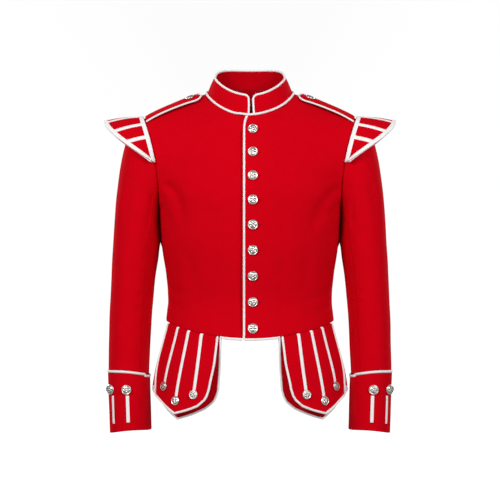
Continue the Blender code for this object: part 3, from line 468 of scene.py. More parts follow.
def ring_point(rings, at, angle):
    """A point of a tube: 0 degrees is its inner side, 90 front, 180 outer, 270 back."""
    (outer_x, outer_z, inner_x, inner_z, mid_y, front, back,
     scoop_front, scoop_back, rise) = (column_at(rings, column, at) for column in SLEEVE_COLUMNS.split())
    turn = math.radians(angle)
    sine, cosine = math.sin(turn), math.cos(turn)
    depth, scoop = (front, scoop_front) if sine >= 0.0 else (back, scoop_back)
    return Vector((
        (outer_x + inner_x) / 2.0 - (outer_x - inner_x) / 2.0 * cosine - scoop * sine * sine,
        mid_y - depth * sine,
        (outer_z + inner_z) / 2.0 - (outer_z - inner_z) / 2.0 * cosine + rise * max(sine, 0.0) ** 2,
    ))


def armhole_point(angle, facing):
    """The armhole from the underarm (0) to the shoulder seam (180), in front or behind."""
    return ring_point(SLEEVE_RINGS, 0.0, angle if facing == "front" else -angle)


def panel_point(facing, row, across):
    """A point of the body: across is 0 on the centre line or neck ring and 1 at the edge."""
    if row <= NECK_ROW:
        start = Vector((0.0, column_at(PANEL_ROWS, f"{facing}_y", row, last=NECK_ROW),
                        column_at(PANEL_ROWS, f"{facing}_z", row, last=NECK_ROW)))
    else:
        turned = 90.0 * (row - NECK_ROW) / (TOP_ROW - NECK_ROW)
        start = neck_point(turned if facing == "front" else 180.0 - turned)
    if row <= UNDERARM_ROW:
        end = Vector(column_at(SIDE_SEAM, column, row) for column in ("x", "y", "z"))
    else:
        end = armhole_point(column_at(PANEL_ROWS, "angle", row, first=UNDERARM_ROW), facing)
    fullness, start_turn, end_turn = (column_at(PANEL_ROWS, column, row)
                                      for column in ("fullness", "start", "end"))
    span = end - start
    near = Vector((start.x + fullness * span.x, start.y + fullness * span.y * start_turn))
    far = Vector((end.x - fullness * span.x * end_turn, end.y - fullness * span.y))
    share = abs(across)
    rest = 1.0 - share
    weights = (rest ** 3, 3 * rest * rest * share, 3 * rest * share * share, share ** 3)
    corners = (Vector((start.x, start.y)), near, far, Vector((end.x, end.y)))
    flat = sum((corner * weight for corner, weight in zip(corners, weights)), Vector((0.0, 0.0)))
    rise = lerp(smooth(share), share, start_turn)
    return Vector((math.copysign(flat.x, across) if across else flat.x, flat.y, start.z + span.z * rise))


def normal_of(surface, first, second, inside):
    """The unit normal of a surface at a pair of its parameters, away from a point inside."""
    nudge = 1e-3
    along = surface(first + nudge, second) - surface(first - nudge, second)
    over = surface(first, second + nudge) - surface(first, second - nudge)
    normal = along.cross(over).normalized()
    return normal if normal.dot(surface(first, second) - inside) > 0.0 else -normal


def body_normal(facing, row, across):
    """Out of the body's cloth, taken just short of the seams."""
    short = 0.002
    row = min(max(row, short), TOP_ROW - short)
    across = min(across, 1.0 - short)
    here = panel_point(facing, row, across)
    below = Vector((0.0, 0.0, here.z - 60.0))
    return normal_of(lambda r, a: panel_point(facing, r, a), row, across, below)


def across_at_x(facing, row, x):
    """The share across a row at which the panel has a given x, for x on either side."""
    low, high = 0.0, 1.0
    for _ in range(30):
        middle = (low + high) / 2.0
        if panel_point(facing, row, middle).x < abs(x):
            low = middle
        else:
            high = middle
    return math.copysign((low + high) / 2.0, x)


def row_at_z(facing, z, x):
    """The row of a panel at which the line x = constant has a given height."""
    low, high = 0.0, float(NECK_ROW)
    for _ in range(30):
        middle = (low + high) / 2.0
        if panel_point(facing, middle, across_at_x(facing, middle, x)).z < z:
            low = middle
        else:
            high = middle
    return (low + high) / 2.0


def lap_lift(x):
    """How far the left front stands out where it lies over the right one."""
    return LAP_LIFT * (1.0 - smooth((x - LAP_FLAT_TO) / (LAP_FADES_BY - LAP_FLAT_TO)))


def left_front_point(row, across):
    """The left front: the body's surface, raised where it laps over the right front."""
    point = panel_point("front", row, across)
    raised = body_normal("front", row, abs(across))
    if across < 0.0:
        raised.x = -raised.x
    return point + raised * lap_lift(point.x)


def mirrored(points, sign):
    return [Vector((point.x * sign, point.y, point.z)) for point in points]


def beside_edge(edge, normals, side, reach, sink):
    """A path beside an edge of a wall, mitred at its corners. The side is 1 or -1, and
    sink is how far the path lies under the wall's outer face."""
    path = []
    for index, point in enumerate(edge):
        before = point - edge[index - 1] if index else edge[1] - point
        after = edge[index + 1] - point if index < len(edge) - 1 else before
        first = before.cross(normals[index]).normalized() * side
        second = after.cross(normals[index]).normalized() * side
        outward = (first + second) / (1.0 + first.dot(second))
        path.append(point + outward * reach - normals[index] * sink)
    return path


def lap_at(row):
    """How far the left front runs past the centre line, less just under the collar."""
    near = min(max((row - NECK_ROW + 0.8) / 0.8, 0.0), 1.0)
    return lerp(LAP_PAST_CENTRE, LAP_AT_NECK, near ** 2.4)


def trim_lift(x):
    """The neck piping climbs over the lap just before the left front's edge."""
    if x < 0.0:
        return LAP_LIFT * smooth((x - NECK_TRIM_CLIMBS_FROM) / NECK_TRIM_CLIMBS_OVER)
    return lap_lift(x)


def hem_path(xs, sign):
    """Points just under the hem of a front, at those distances from the centre line."""
    surface = left_front_point if sign > 0 else lambda row, across: panel_point("front", row, across)
    points = [surface(0.0, across_at_x("front", 0.0, x)) for x in xs]
    drop = Vector((0.0, 0.0, -PIPING_RADIUS - SEAM_GAP))
    return mirrored([point + drop for point in points], sign)


def cuff_point(share, angle):
    return ring_point(CUFF_RINGS, share * (len(CUFF_RINGS) - 1), angle)


def tash_point(tash, across, down):
    """A point of a flap: across from its inner edge, down from the waist seam."""
    x = lerp(tash["inner_x"], tash["outer_x"], across)
    share = across_at_x("front", 0.0, x)
    top = panel_point("front", 0.0, share) - body_normal("front", 0.0, share) * tash["behind"]
    foot = tash["foot"]
    row = next((index for index in range(len(foot) - 1) if across <= foot[index + 1]["share"]),
               len(foot) - 2)
    here, there = foot[row], foot[row + 1]
    on = (across - here["share"]) / (there["share"] - here["share"])
    stretch = (0, TASH_POINT) if row < TASH_POINT else (TASH_POINT, None)
    end = Vector((lerp(tash["inner_foot_x"], tash["outer_foot_x"], across),
                  column_at(foot, "y", row + on),
                  column_at(foot, "z", row + on, *stretch)))
    bow = tash["bow"] * across * across * math.sin(math.pi * max(down, 0.0) ** 1.4)
    hang = top.lerp(end, down)
    below = down * (end - top).length
    hang -= body_normal("front", 0.0, share) * (TUCK_DEPTH * (1.0 - smooth(below / TUCK_REACH)))
    hang.y -= tash["stand"] * smooth(down / TASH_STANDS_BY)
    turned = smooth((down - TASH_TURNS_FROM) / (1.0 - TASH_TURNS_FROM))
    bow += tash["corner"] * max(1.0 - across, 0.0) ** 3 * turned
    return hang + Vector((bow, 0.0, 0.0)) - Vector((0.0, 0.0, (SEAM_GAP + 0.1) * (1.0 - down)))


def flap_normal(tash, across, down):
    across = min(max(across, 0.002), 0.998)
    down = min(max(down, 0.002), 0.998)
    return normal_of(lambda a, d: tash_point(tash, a, d), across, down, TASH_INSIDE)


def wing_edge_point(angle):
    """The outer edge of a wing, from its tip above the shoulder down to its two feet."""
    turn = math.radians(abs(angle))
    reach = math.copysign(WING_REACH_Y * math.sin(turn), angle)
    return Vector((
        lerp(WING_FOOT_X, WING_TIP_X, math.cos(turn)),
        WING_MID_Y - reach,
        lerp(WING_TIP_Z, WING_FOOT_Z, (abs(angle) / 90.0) ** 1.25),
    ))


def wing_point(angle, out):
    """A point of a wing: angle round the shoulder, out from the armhole seam to its edge."""
    seam = ring_point(SLEEVE_RINGS, 0.0, 180.0 - angle)
    middle = ring_point(SLEEVE_RINGS, 0.0, 90.0).lerp(ring_point(SLEEVE_RINGS, 0.0, 270.0), 0.5)
    lift = (seam - middle).normalized() * WING_LIFT
    crown = WING_CROWN * 4.0 * out * (1.0 - out) * math.cos(math.radians(angle))
    return (seam + lift).lerp(wing_edge_point(angle) + lift * 0.3, out) + Vector((0.0, 0.0, crown))


def shoulder_point(along, offset):
    """A point of the shoulder: along from its end to the neck, offset behind the middle of
    the strap, which lies forward of the seam."""
    offset -= STRAP_FORWARD
    facing = "front" if offset < 0.0 else "back"
    across = 1.0 - along
    seam = panel_point(facing, TOP_ROW, across)
    low, high = NECK_ROW + 0.5, float(TOP_ROW)
    for _ in range(30):
        middle = (low + high) / 2.0
        if (panel_point(facing, middle, across) - seam).length > abs(offset):
            low = middle
        else:
            high = middle
    return panel_point(facing, (low + high) / 2.0, across)


def strap_normal(along, offset):
    """Out of the shoulder, the same on both sides of its seam."""
    reach = 4.0
    return (normal_of(shoulder_point, along, offset - reach, STRAP_INSIDE)
            + normal_of(shoulder_point, along, offset + reach, STRAP_INSIDE)).normalized()


def strap_bow(share):
    """How far a strap stands off the shoulder, at a share of its length."""
    return STRAP_BOW * math.sin(math.pi * share ** STRAP_BOW_SKEW)


def grid_of(surface, firsts, seconds):
    """Points of a surface as an array of rows."""
    return np.array([[tuple(surface(first, second)) for second in seconds] for first in firsts])


def leaning(grid, closed):
    """The cross product of a grid's two directions at each point, as long as its cell is large."""
    if closed:
        over = (np.roll(grid, -1, 1) - np.roll(grid, 1, 1)) / 2.0
    else:
        over = np.gradient(grid, axis=1)
    return np.cross(np.gradient(grid, axis=0), over)


def normals_of(grid, inside, closed=False):
    """Unit normals of a grid, out of the hollow that holds the inside point."""
    normal = leaning(grid, closed)
    away = (normal * (grid - np.array(inside))).sum()
    normal /= np.maximum(np.linalg.norm(normal, axis=2, keepdims=True), 1e-9)
    return normal if away > 0.0 else -normal


def lengths_along(grid, axis):
    """How far each point of a grid lies from its first row or column, along the cloth."""
    steps = np.linalg.norm(np.diff(grid, axis=axis), axis=2)
    return np.concatenate([np.zeros_like(np.take(steps, [0], axis)), np.cumsum(steps, axis=axis)], axis=axis)


def edge_distance(grid, edges):
    """How far each point lies from the nearest of the named edges."""
    nearest = np.full(grid.shape[:2], 1e9)
    for axis, first, last in ((0, "top", "bottom"), (1, "start", "end")):
        along = lengths_along(grid, axis)
        if first in edges:
            nearest = np.minimum(nearest, along)
        if last in edges:
            nearest = np.minimum(nearest, np.take(along, [-1], axis) - along)
    return nearest


def edged_shares(count, length):
    """Shares from 0 to 1, with closer ones near both ends of a length."""
    near = [step / length for step in EDGE_STEPS]
    middle = np.linspace(near[-1], 1.0 - near[-1], count)
    return [0.0, *near[:-1], *middle, *(1.0 - share for share in reversed(near[:-1])), 1.0]


def soft_step(values):
    values = np.clip(values, 0.0, 1.0)
    return values * values * (3.0 - 2.0 * values)


def crease_height(flat, creases):
    """How far the creases move each point of a flat map, outwards above zero."""
    height = np.zeros(len(flat))
    for crease in creases:
        first, middle, last = (np.array((crease[f"u{k}"], crease[f"v{k}"])) for k in (1, 2, 3))
        along = np.linspace(0.0, 1.0, 33)[:, None]
        line = (first * (1 - along) * (1 - 2 * along) + middle * 4 * along * (1 - along)
                + last * along * (2 * along - 1))
        gap = flat[:, None, :] - line[None]
        near = (gap ** 2).sum(2).argmin(1)
        share = along[near, 0]
        heading = np.gradient(line, axis=0)[near]
        heading /= np.linalg.norm(heading, axis=1, keepdims=True)
        chosen = gap[np.arange(len(flat)), near]
        across = heading[:, 0] * chosen[:, 1] - heading[:, 1] * chosen[:, 0]
        beyond = np.abs((heading * chosen).sum(1))
        width = crease["width"] * (0.7 + 0.5 * share)
        fade = soft_step((1.0 - share) / 0.6) * np.exp(-(beyond / width) ** 2)
        if not crease["start"]:
            fade *= soft_step(share / 0.4)
        trough = np.exp(-(across / width) ** 2)
        beside = np.exp(-((across - 1.7 * width) / width) ** 2)
        height -= crease["depth"] * fade * (trough - crease["ridge"] * beside)
    return height


def waves(grid, seed):
    """Slow soft waves of worn cloth."""
    shift = Vector((seed * 7.3, seed * 3.1, seed * 5.7))
    height = [[noise.noise(Vector(point) / WAVE_SIZE + shift) for point in row] for row in grid]
    return np.array(height) * WAVE_DEPTH


def pressed(grid, apart):
    """Cloth of the body and the sleeve pressed together under the arm: where either comes
    near the wavy sheet between them it is drawn onto its own side of that sheet."""
    x, y, z = np.moveaxis(grid, 2, 0)
    between = PRESS_X + apart + PRESS_WAVE * np.sin(y / PRESS_WAVE_LENGTH)
    fade = soft_step((PRESS_TOP - z) / PRESS_FADE) * soft_step((z - PRESS_FOOT) / PRESS_FADE)
    near = np.exp(-((x - between) / PRESS_REACH) ** 2)
    near = near * soft_step((PRESS_DEPTH - np.abs(y - PRESS_Y)) / PRESS_SIDE_FADE)
    made = grid.copy()
    made[:, :, 0] += (between - x) * fade * near
    return made


def eased(grid, rows, shares):
    """Rows of the body smoothed over the underarm, where its side seam ends."""
    close = soft_step(1.0 - np.abs(np.array(rows) - UNDERARM_ROW) / 0.9)
    weight = close[:, None] * soft_step((1.0 - np.array(shares)) / 0.3)[None, :]
    for _ in range(80):
        middle = (grid[:-2] + grid[2:]) / 2.0
        grid[1:-1] += (middle - grid[1:-1]) * weight[1:-1, :, None]
    return grid


def dressed(grid, inside, flat, creases, seams, seed, calm=None, dip=SEAM_DIP):
    """A grid with its creases, soft waves and drawn-in seams."""
    normal = normals_of(grid, inside)
    away = edge_distance(grid, seams)
    height = crease_height(flat.reshape(-1, 2), creases).reshape(grid.shape[:2]) + waves(grid, seed)
    height *= soft_step(away / SEAM_FADE)
    if calm is not None:
        height *= calm
    height -= dip * np.exp(-(away / SEAM_DIP_REACH) ** 2)
    return grid + normal * height[:, :, None]


def mesh_piece(name, verts, faces, uvs, finishes):
    """A smooth mesh in metres with a flat map in metres."""
    mesh = bpy.data.meshes.new(name)
    mesh.from_pydata(verts * METRES, [], faces)
    layer = mesh.uv_layers.new(name="UVMap")
    layer.data.foreach_set("uv", (np.array(uvs, np.float32) * METRES).ravel())
    for finish in finishes:
        mesh.materials.append(finish)
    mesh.shade_smooth()
    piece = bpy.data.objects.new(name, mesh)
    bpy.context.scene.collection.objects.link(piece)
    return piece


def stand_for(piece, nodes):
    """The piece rides on the one body and stands for its solids."""
    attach(piece, "root")
    if nodes:
        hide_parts(*nodes)
    return piece


def cloth(name, grid, nodes, finishes, inside, thickness=WALL, closed=False, keep=None):
    """A cloth shell: a grid of outer points, thickened inwards, with rounded edges."""
    rows, columns = grid.shape[:2]
    last = columns if closed else columns - 1
    across = lengths_along(grid, 1).mean(0)
    down = lengths_along(grid, 0).mean(1)
    if closed:
        across = np.append(across, across[-1] + np.linalg.norm(grid[:, 0] - grid[:, -1], axis=1).mean())
    faces, uvs = [], []
    flip = (leaning(grid, closed) * (grid - np.array(inside))).sum() < 0.0
    for row in range(rows - 1):
        for column in range(last):
            if keep and not keep(row, column):
                continue
            corners = ((row, column), (row + 1, column), (row + 1, column + 1), (row, column + 1))
            if flip:
                corners = corners[::-1]
            faces.append([r * columns + c % columns for r, c in corners])
            uvs += [(across[c], down[r]) for r, c in corners]
    piece = mesh_piece(name, grid.reshape(-1, 3), faces, uvs, finishes)
    wall = piece.modifiers.new("Wall", "SOLIDIFY")
    wall.thickness = thickness * METRES
    wall.offset = -1.0
    if len(finishes) > 1:
        wall.material_offset_rim = 1
    rim = piece.modifiers.new("Rim", "BEVEL")
    rim.width = min(RIM_ROUNDING, thickness * 0.35) * METRES
    rim.segments = 2
    rim.limit_method = "ANGLE"
    rim.angle_limit = math.radians(50.0)
    rim.harden_normals = True
    return stand_for(piece, nodes)


def smooth_path(path, closed, step):
    """A path of points, resampled as a Catmull-Rom curve at about even steps."""
    points = [np.array(tuple(point)) for point in path]
    count = len(points)
    made = []
    for index in range(count if closed else count - 1):
        picks = [index - 1, index, index + 1, index + 2]
        if closed:
            before, here, there, after = (points[pick % count] for pick in picks)
        else:
            before, here, there, after = (points[min(max(pick, 0), count - 1)] for pick in picks)
        pieces = max(1, round(float(np.linalg.norm(there - here)) / step))
        for part in range(pieces):
            t = part / pieces
            made.append(0.5 * (2 * here + (there - before) * t
                               + (2 * before - 5 * here + 4 * there - after) * t ** 2
                               + (3 * here - before - 3 * there + after) * t ** 3))
    if not closed:
        made.append(points[-1])
    return np.array(made)


def piping(name, path, radius, nodes, finish, closed=False, step=2.4):
    """A covered cord along a path, slightly uneven, with rounded ends."""
    line = smooth_path(path, closed, step)
    if closed:
        heading = np.roll(line, -1, 0) - np.roll(line, 1, 0)
    else:
        heading = np.gradient(line, axis=0)
    heading /= np.linalg.norm(heading, axis=1, keepdims=True)
    radii = radius * (1.0 + 0.03 * np.array([noise.noise(Vector(point) / 9.0) for point in line]))
    if not closed:
        line = np.concatenate([[line[0]] * 2, line, [line[-1]] * 2])
        heading = np.concatenate([[heading[0]] * 2, heading, [heading[-1]] * 2])
        radii = np.concatenate([[radius * 0.35, radius * 0.85], radii, [radius * 0.85, radius * 0.35]])
        ends = np.array([0.9, 0.55]) * radius
        line[0:2] -= heading[0:2] * ends[:, None]
        line[-2:] += heading[-2:] * ends[::-1, None]
    side = np.cross(heading[0], (0.0, 0.0, 1.0))
    if np.linalg.norm(side) < 0.1:
        side = np.cross(heading[0], (0.0, 1.0, 0.0))
    rings, count = [], len(line)
    turns = np.linspace(0.0, 2.0 * math.pi, PIPING_SIDES, endpoint=False)
    for centre, ahead, thick in zip(line, heading, radii):
        side = side - ahead * side.dot(ahead)
        side /= np.linalg.norm(side)
        up = np.cross(ahead, side)
        rings.append([centre + thick * (side * math.cos(turn) + up * math.sin(turn)) for turn in turns])
    along = np.concatenate([[0.0], np.cumsum(np.linalg.norm(np.diff(line, axis=0), axis=1))])
    faces, uvs = [], []
    for ring in range(count if closed else count - 1):
        after = (ring + 1) % count
        ahead = along[ring + 1] if ring + 1 < count else along[ring] + step
        for turn in range(PIPING_SIDES):
            beside = (turn + 1) % PIPING_SIDES
            faces.append([ring * PIPING_SIDES + turn, ring * PIPING_SIDES + beside,
                          after * PIPING_SIDES + beside, after * PIPING_SIDES + turn])
            around = 2.0 * math.pi * radius / PIPING_SIDES
            uvs += [(along[ring], turn * around), (along[ring], (turn + 1) * around),
                    (ahead, (turn + 1) * around), (ahead, turn * around)]
    if not closed:
        start = list(range(PIPING_SIDES))[::-1]
        end = [(count - 1) * PIPING_SIDES + corner for corner in range(PIPING_SIDES)]
        for cap in (start, end):
            faces.append(cap)
            uvs += [(0.0, 0.0)] * PIPING_SIDES
    piece = mesh_piece(name, np.array(rings).reshape(-1, 3), faces, uvs, [finish])
    return stand_for(piece, nodes)


def braid_band(name, spine, sides, normals, half_width, nodes, finish, inside, lift=TOUCH):
    """A flat woven braid: crowned across, with rounded edges and turned-in ends."""
    across = (-1.0, -0.93, -0.8, -0.5, 0.0, 0.5, 0.8, 0.93, 1.0)
    grid = []
    count = len(spine)
    for index, (point, side, normal) in enumerate(zip(spine, sides, normals)):
        end = min(index, count - 1 - index)
        drop = (BRAID_EDGE_DROP, 0.1)[end] if end < 2 else 0.0
        row = []
        for share in across:
            crown = BRAID_THICKNESS * (1.0 - BRAID_EDGE_DROP * share ** 4 - drop)
            row.append(tuple(point + side * (share * half_width) + normal * (lift + crown)))
        grid.append(row)
    return cloth(name, np.array(grid), nodes, [finish], inside,
                 thickness=BRAID_THICKNESS * 0.5)


def button_height(across, turn):
    """Relief of a button as shares of its radius: rim, petals and boss on a low dome.
    Gives the height and how much painted shade the place gets: the low ground of the relief is darkened, the
    raised relief is not."""
    dome = 0.22 + 0.24 * math.sqrt(max(0.0, 1.0 - across * across * 0.93))
    rope = 0.5 + 0.5 * math.cos(40.0 * turn + 26.0 * across)
    rim = 0.085 * math.exp(-((across - 0.90) / 0.060) ** 2) * (0.8 + 0.2 * rope)
    bead = 0.035 * math.exp(-((across - 0.76) / 0.022) ** 2) * (0.55 + 0.45 * math.cos(48.0 * turn))
    boss = 0.085 * math.exp(-(across / 0.17) ** 4)
    open_petal = abs(math.cos(2.5 * turn)) ** 1.2
    reach = math.exp(-((across - 0.44) / 0.20) ** 4)
    petal = 0.090 * reach * open_petal * (1.0 - 0.3 * math.exp(-(math.sin(2.5 * turn) / 0.2) ** 2))
    raised = rim + bead + boss + petal
    # Painted shade: the colour is darkened in the low ground of the relief, most between the petals.
    painted_shade = (1.0 - min(1.0, raised / 0.055)) * math.exp(-((across - 0.42) / 0.30) ** 4)
    return dome + raised - 0.045, painted_shade


def button(name, centre, normal, radius, turned, metal):
    """A domed metal button with a rosette in relief and a flat back."""
    rings = [0.0, 0.06, 0.11, 0.15, 0.19, 0.23, 0.28, 0.34, 0.40, 0.46, 0.52, 0.58, 0.63, 0.68, 0.71,
             0.74, 0.76, 0.78, 0.81, 0.84, 0.87, 0.90, 0.93, 0.96, 0.985, 1.0]
    columns = BUTTON_COLUMNS
    upright = np.array(normal.to_track_quat("Z", "Y").to_matrix())
    verts, painted_shade = [], []
    for across in rings[1:]:
        for column in range(columns):
            turn = 2.0 * math.pi * column / columns
            height, low = button_height(across, turn + turned)
            verts.append((across * math.cos(turn), across * math.sin(turn), height))
            painted_shade.append(low)
    # The side and the flat back of the button get painted shade as well.
    for across, height in ((1.0, 0.13), (0.95, 0.05), (0.7, 0.03)):
        for column in range(columns):
            turn = 2.0 * math.pi * column / columns
            verts.append((across * math.cos(turn), across * math.sin(turn), height))
            painted_shade.append(0.6)
    top, low = button_height(0.0, 0.0)
    verts += [(0.0, 0.0, top), (0.0, 0.0, 0.03)]
    painted_shade += [low, 0.6]
    levels = len(rings) - 1 + 3
    faces = [[(level + 1) * columns + column, (level + 1) * columns + (column + 1) % columns,
              level * columns + (column + 1) % columns, level * columns + column]
             for level in range(levels - 1) for column in range(columns)]
    faces += [[len(verts) - 2, column, (column + 1) % columns] for column in range(columns)]
    base = (levels - 1) * columns
    faces += [[len(verts) - 1, base + (column + 1) % columns, base + column] for column in range(columns)]
    shape = np.array(verts) * radius
    uvs = [shape[index][:2] for face in faces for index in face]
    piece = mesh_piece(f"{name}_relief", shape @ upright.T + np.array(centre + normal * TOUCH),
                       faces, uvs, [metal])
    # The painted shade of each point, read by the metal's colour.
    layer = piece.data.attributes.new("painted_shade", "FLOAT", "POINT")
    layer.data.foreach_set("value", np.array(painted_shade, np.float32))
    return stand_for(piece, [name])


def flat_front(grid):
    return np.stack([np.abs(grid[:, :, 0]), grid[:, :, 2]], axis=2)


def front_rows():
    """Rows of a body panel, closer at the hem and at the shoulder."""
    rows = list(np.linspace(0.0, 9.0, 100)) + list(np.linspace(9.0, 12.0, 46))[1:]
    extra = [0.01, 0.025, 0.045, 0.07, 11.93, 11.95, 11.97, 11.985]
    return sorted({*rows, *extra})


def make_fronts(wool):
    rows = front_rows()
    shares = edged_shares(46, 190.0)
    made = {}
    for side, sign, creases, seed in (("left", 1, FRONT_LEFT_CREASES, 1.0),
                                      ("right", -1, FRONT_RIGHT_CREASES, 2.0)):
        grid = []
        for row in rows:
            past = lap_at(row) if side == "left" else UNDERLAP
            start = across_at_x("front", row, -past) if row <= NECK_ROW else 0.0
            grid.append([tuple(panel_point("front", row, lerp(start, 1.0, share))) for share in shares])
        grid = eased(np.array(grid), rows, shares)
        calm = soft_step((grid[:, :, 0] - FLAT_BY_BUTTONS) / FLAT_FADE)
        grid = dressed(grid, BODY_INSIDE, flat_front(grid), creases, ("top", "end"), seed, calm)
        grid = pressed(grid, -PRESS_APART)
        if side == "right":
            at = np.array(rows)
            ends = soft_step(at / LAP_SINK_FADE_IN)
            ends *= soft_step((LAP_SINK_TOP_ROW - at) / LAP_SINK_FADE_OUT)
            sink = LAP_SINK * ends[:, None] * np.exp(-((grid[:, :, 0] - LAP_SINK_X) / LAP_SINK_REACH) ** 2)
            grid = grid - normals_of(grid, BODY_INSIDE) * sink[:, :, None]
        if side == "left":
            lift = np.array([[lap_lift(x) for x in row] for row in grid[:, :, 0]])
            grid = grid + normals_of(grid, BODY_INSIDE) * lift[:, :, None]
            away = edge_distance(grid, ("start",))
            roll = LAP_ROLL * np.exp(-(away / LAP_ROLL_REACH) ** 2)
            grid = grid - normals_of(grid, BODY_INSIDE) * roll[:, :, None]
        grid[:, :, 0] *= sign
        piece = cloth(f"front_{side}_cloth", grid, [f"front_{side}"], [wool], BODY_INSIDE)
        made[side] = piece
    return made


def make_backs(wool):
    rows = front_rows()
    shares = edged_shares(44, 185.0)
    base = eased(grid_of(lambda row, share: panel_point("back", row, share), rows, shares), rows, shares)
    for side, sign, creases, seed in (("left", 1, BACK_LEFT_CREASES, 3.0),
                                      ("right", -1, BACK_RIGHT_CREASES, 4.0)):
        grid = dressed(base, BODY_INSIDE, flat_front(base), creases, ("top", "start", "end"), seed)
        grid = pressed(grid, -PRESS_APART)
        grid[:, :, 0] *= sign
        piece = cloth(f"back_{side}_cloth", grid, [f"back_{side}"], [wool], BODY_INSIDE)


def make_collar(wool, white):
    left = math.degrees(math.asin(COLLAR_LEFT_EDGE_X / NECK_HALF_WIDTH))
    right = 360.0 + math.degrees(math.asin(COLLAR_RIGHT_EDGE_X / NECK_HALF_WIDTH))
    turns = [0.0, 0.35, 0.8, 1.4, 2.1, 3.0, 4.0, 5.1, 6.4]
    angles = [left + turn for turn in turns] + list(np.linspace(left + 8.0, right - 8.0, 130))
    angles += [right - turn for turn in reversed(turns)]
    heights = [-0.02, 0.02, 0.06, 0.12, 0.2, 0.3, 0.4, 0.5, 0.6, 0.7, 0.8, 0.88, 0.94, 0.98, 1.0]
    grid = grid_of(collar_point, angles, heights)
    normal = normals_of(grid, COLLAR_INSIDE)
    level = np.array(heights)[None, :]
    swell = 0.8 * np.sin(math.pi * np.clip(level, 0.0, 1.0)) + 0.5 * waves(grid, 5.0) * np.sin(
        math.pi * np.clip(level, 0.0, 1.0))
    grid = grid + normal * swell[:, :, None]
    piece = cloth("collar_cloth", grid, ["collar"], [wool], COLLAR_INSIDE)

    outline = [(left, height) for height in (0.08, 0.3, 0.55, 0.8)]
    outline += [(angle, 1.0) for angle in angles[::2]]
    outline += [(right, height) for height in (0.8, 0.55, 0.3, 0.08)]
    edge = [collar_point(angle, height) for angle, height in outline]
    normals = [normal_of(collar_point, angle, height * 0.9, COLLAR_INSIDE) for angle, height in outline]
    path = beside_edge(edge, normals, -1.0, PIPING_RADIUS - 0.4, WALL / 2.0)
    piping("collar_cord", path, PIPING_RADIUS, ["collar_piping"], white)


def make_neck_cord(white):
    reach = PIPING_RADIUS + SEAM_GAP
    path = []
    for angle in range(0, 360, 6):
        folded = angle if angle <= 180 else 360 - angle
        facing = "front" if folded <= 90 else "back"
        row = NECK_ROW + (folded if folded <= 90 else 180 - folded) / 30.0
        from_body = body_normal(facing, row, 0.004)
        from_collar = normal_of(collar_point, folded, 0.2, Vector((0.0, 0.0, -10.0)))
        sign = 1.0 if angle <= 180 else -1.0
        for normal in (from_body, from_collar):
            normal.x *= sign
        between = (from_body + from_collar) / (1.0 + from_body.dot(from_collar))
        seam = neck_point(folded)
        seam.x *= sign
        lift = trim_lift(seam.x) if folded < 60 else 0.0
        path.append(seam + between * reach + from_body * lift)
    piping("neck_cord", path, PIPING_RADIUS, ["neck_seam_piping"], white, closed=True)


def make_front_cords(white):
    reach = PIPING_RADIUS + TOUCH
    proud = reach - LAP_LIFT
    path = []
    steps = 60
    for step in range(steps + 1):
        row = lerp(NECK_ROW - 0.03, 0.12, step / steps)
        across = across_at_x("front", row, -lap_at(row))
        normal = body_normal("front", row, abs(across))
        path.append(left_front_point(row, across) + normal * proud - Vector((reach, 0.0, 0.0)))
    corner = left_front_point(0.0, across_at_x("front", 0.0, -LAP_PAST_CENTRE))
    path.append(corner + Vector((-reach * 0.75, 0.0, -reach * 0.75)))
    path += hem_path(LEFT_HEM_PIPING_XS, 1)
    piping("front_edge_cord", path, PIPING_RADIUS, ["front_edge_piping"], white)
    piping("right_hem_cord", hem_path(RIGHT_HEM_PIPING_XS, -1), PIPING_RADIUS, ["right_hem_piping"],
           white)


def make_sleeves(wool):
    positions = sorted({*np.linspace(0.03, 1.0, 14), *np.linspace(1.0, 9.0, 120), 0.05, 0.08, 8.97})
    for kind, first, last, count in (("top_sleeve", FRONT_SLEEVE_SEAM, BACK_SLEEVE_SEAM, 88),
                                     ("under_sleeve", BACK_SLEEVE_SEAM - 360.0, FRONT_SLEEVE_SEAM, 34)):
        shares = edged_shares(count, (last - first) * 1.02)
        angles = [lerp(first + 0.12, last - 0.12, share) for share in shares]
        base = grid_of(lambda at, angle: ring_point(SLEEVE_RINGS, at, angle), positions, angles)
        flat = np.stack([np.broadcast_to(angles, base.shape[:2]), base[:, :, 2]], axis=2)
        calm = soft_step((base[:, :, 2] - FLAT_SLEEVE_Z) / FLAT_SLEEVE_FADE)
        for side, sign, creases, seed in (("left", 1, SLEEVE_LEFT_CREASES, 6.0),
                                          ("right", -1, SLEEVE_RIGHT_CREASES, 8.0)):
            grid = dressed(base, SLEEVE_INSIDE, flat, creases, ("top", "start", "end"), seed, calm,
                           SLEEVE_SEAM_DIP)
            grid = pressed(grid, PRESS_APART)
            grid[:, :, 0] *= sign
            inside = SLEEVE_INSIDE * Vector((sign, 1, 1))
            piece = cloth(f"{kind}_{side}_cloth", grid, [f"{kind}_{side}"], [wool], inside)


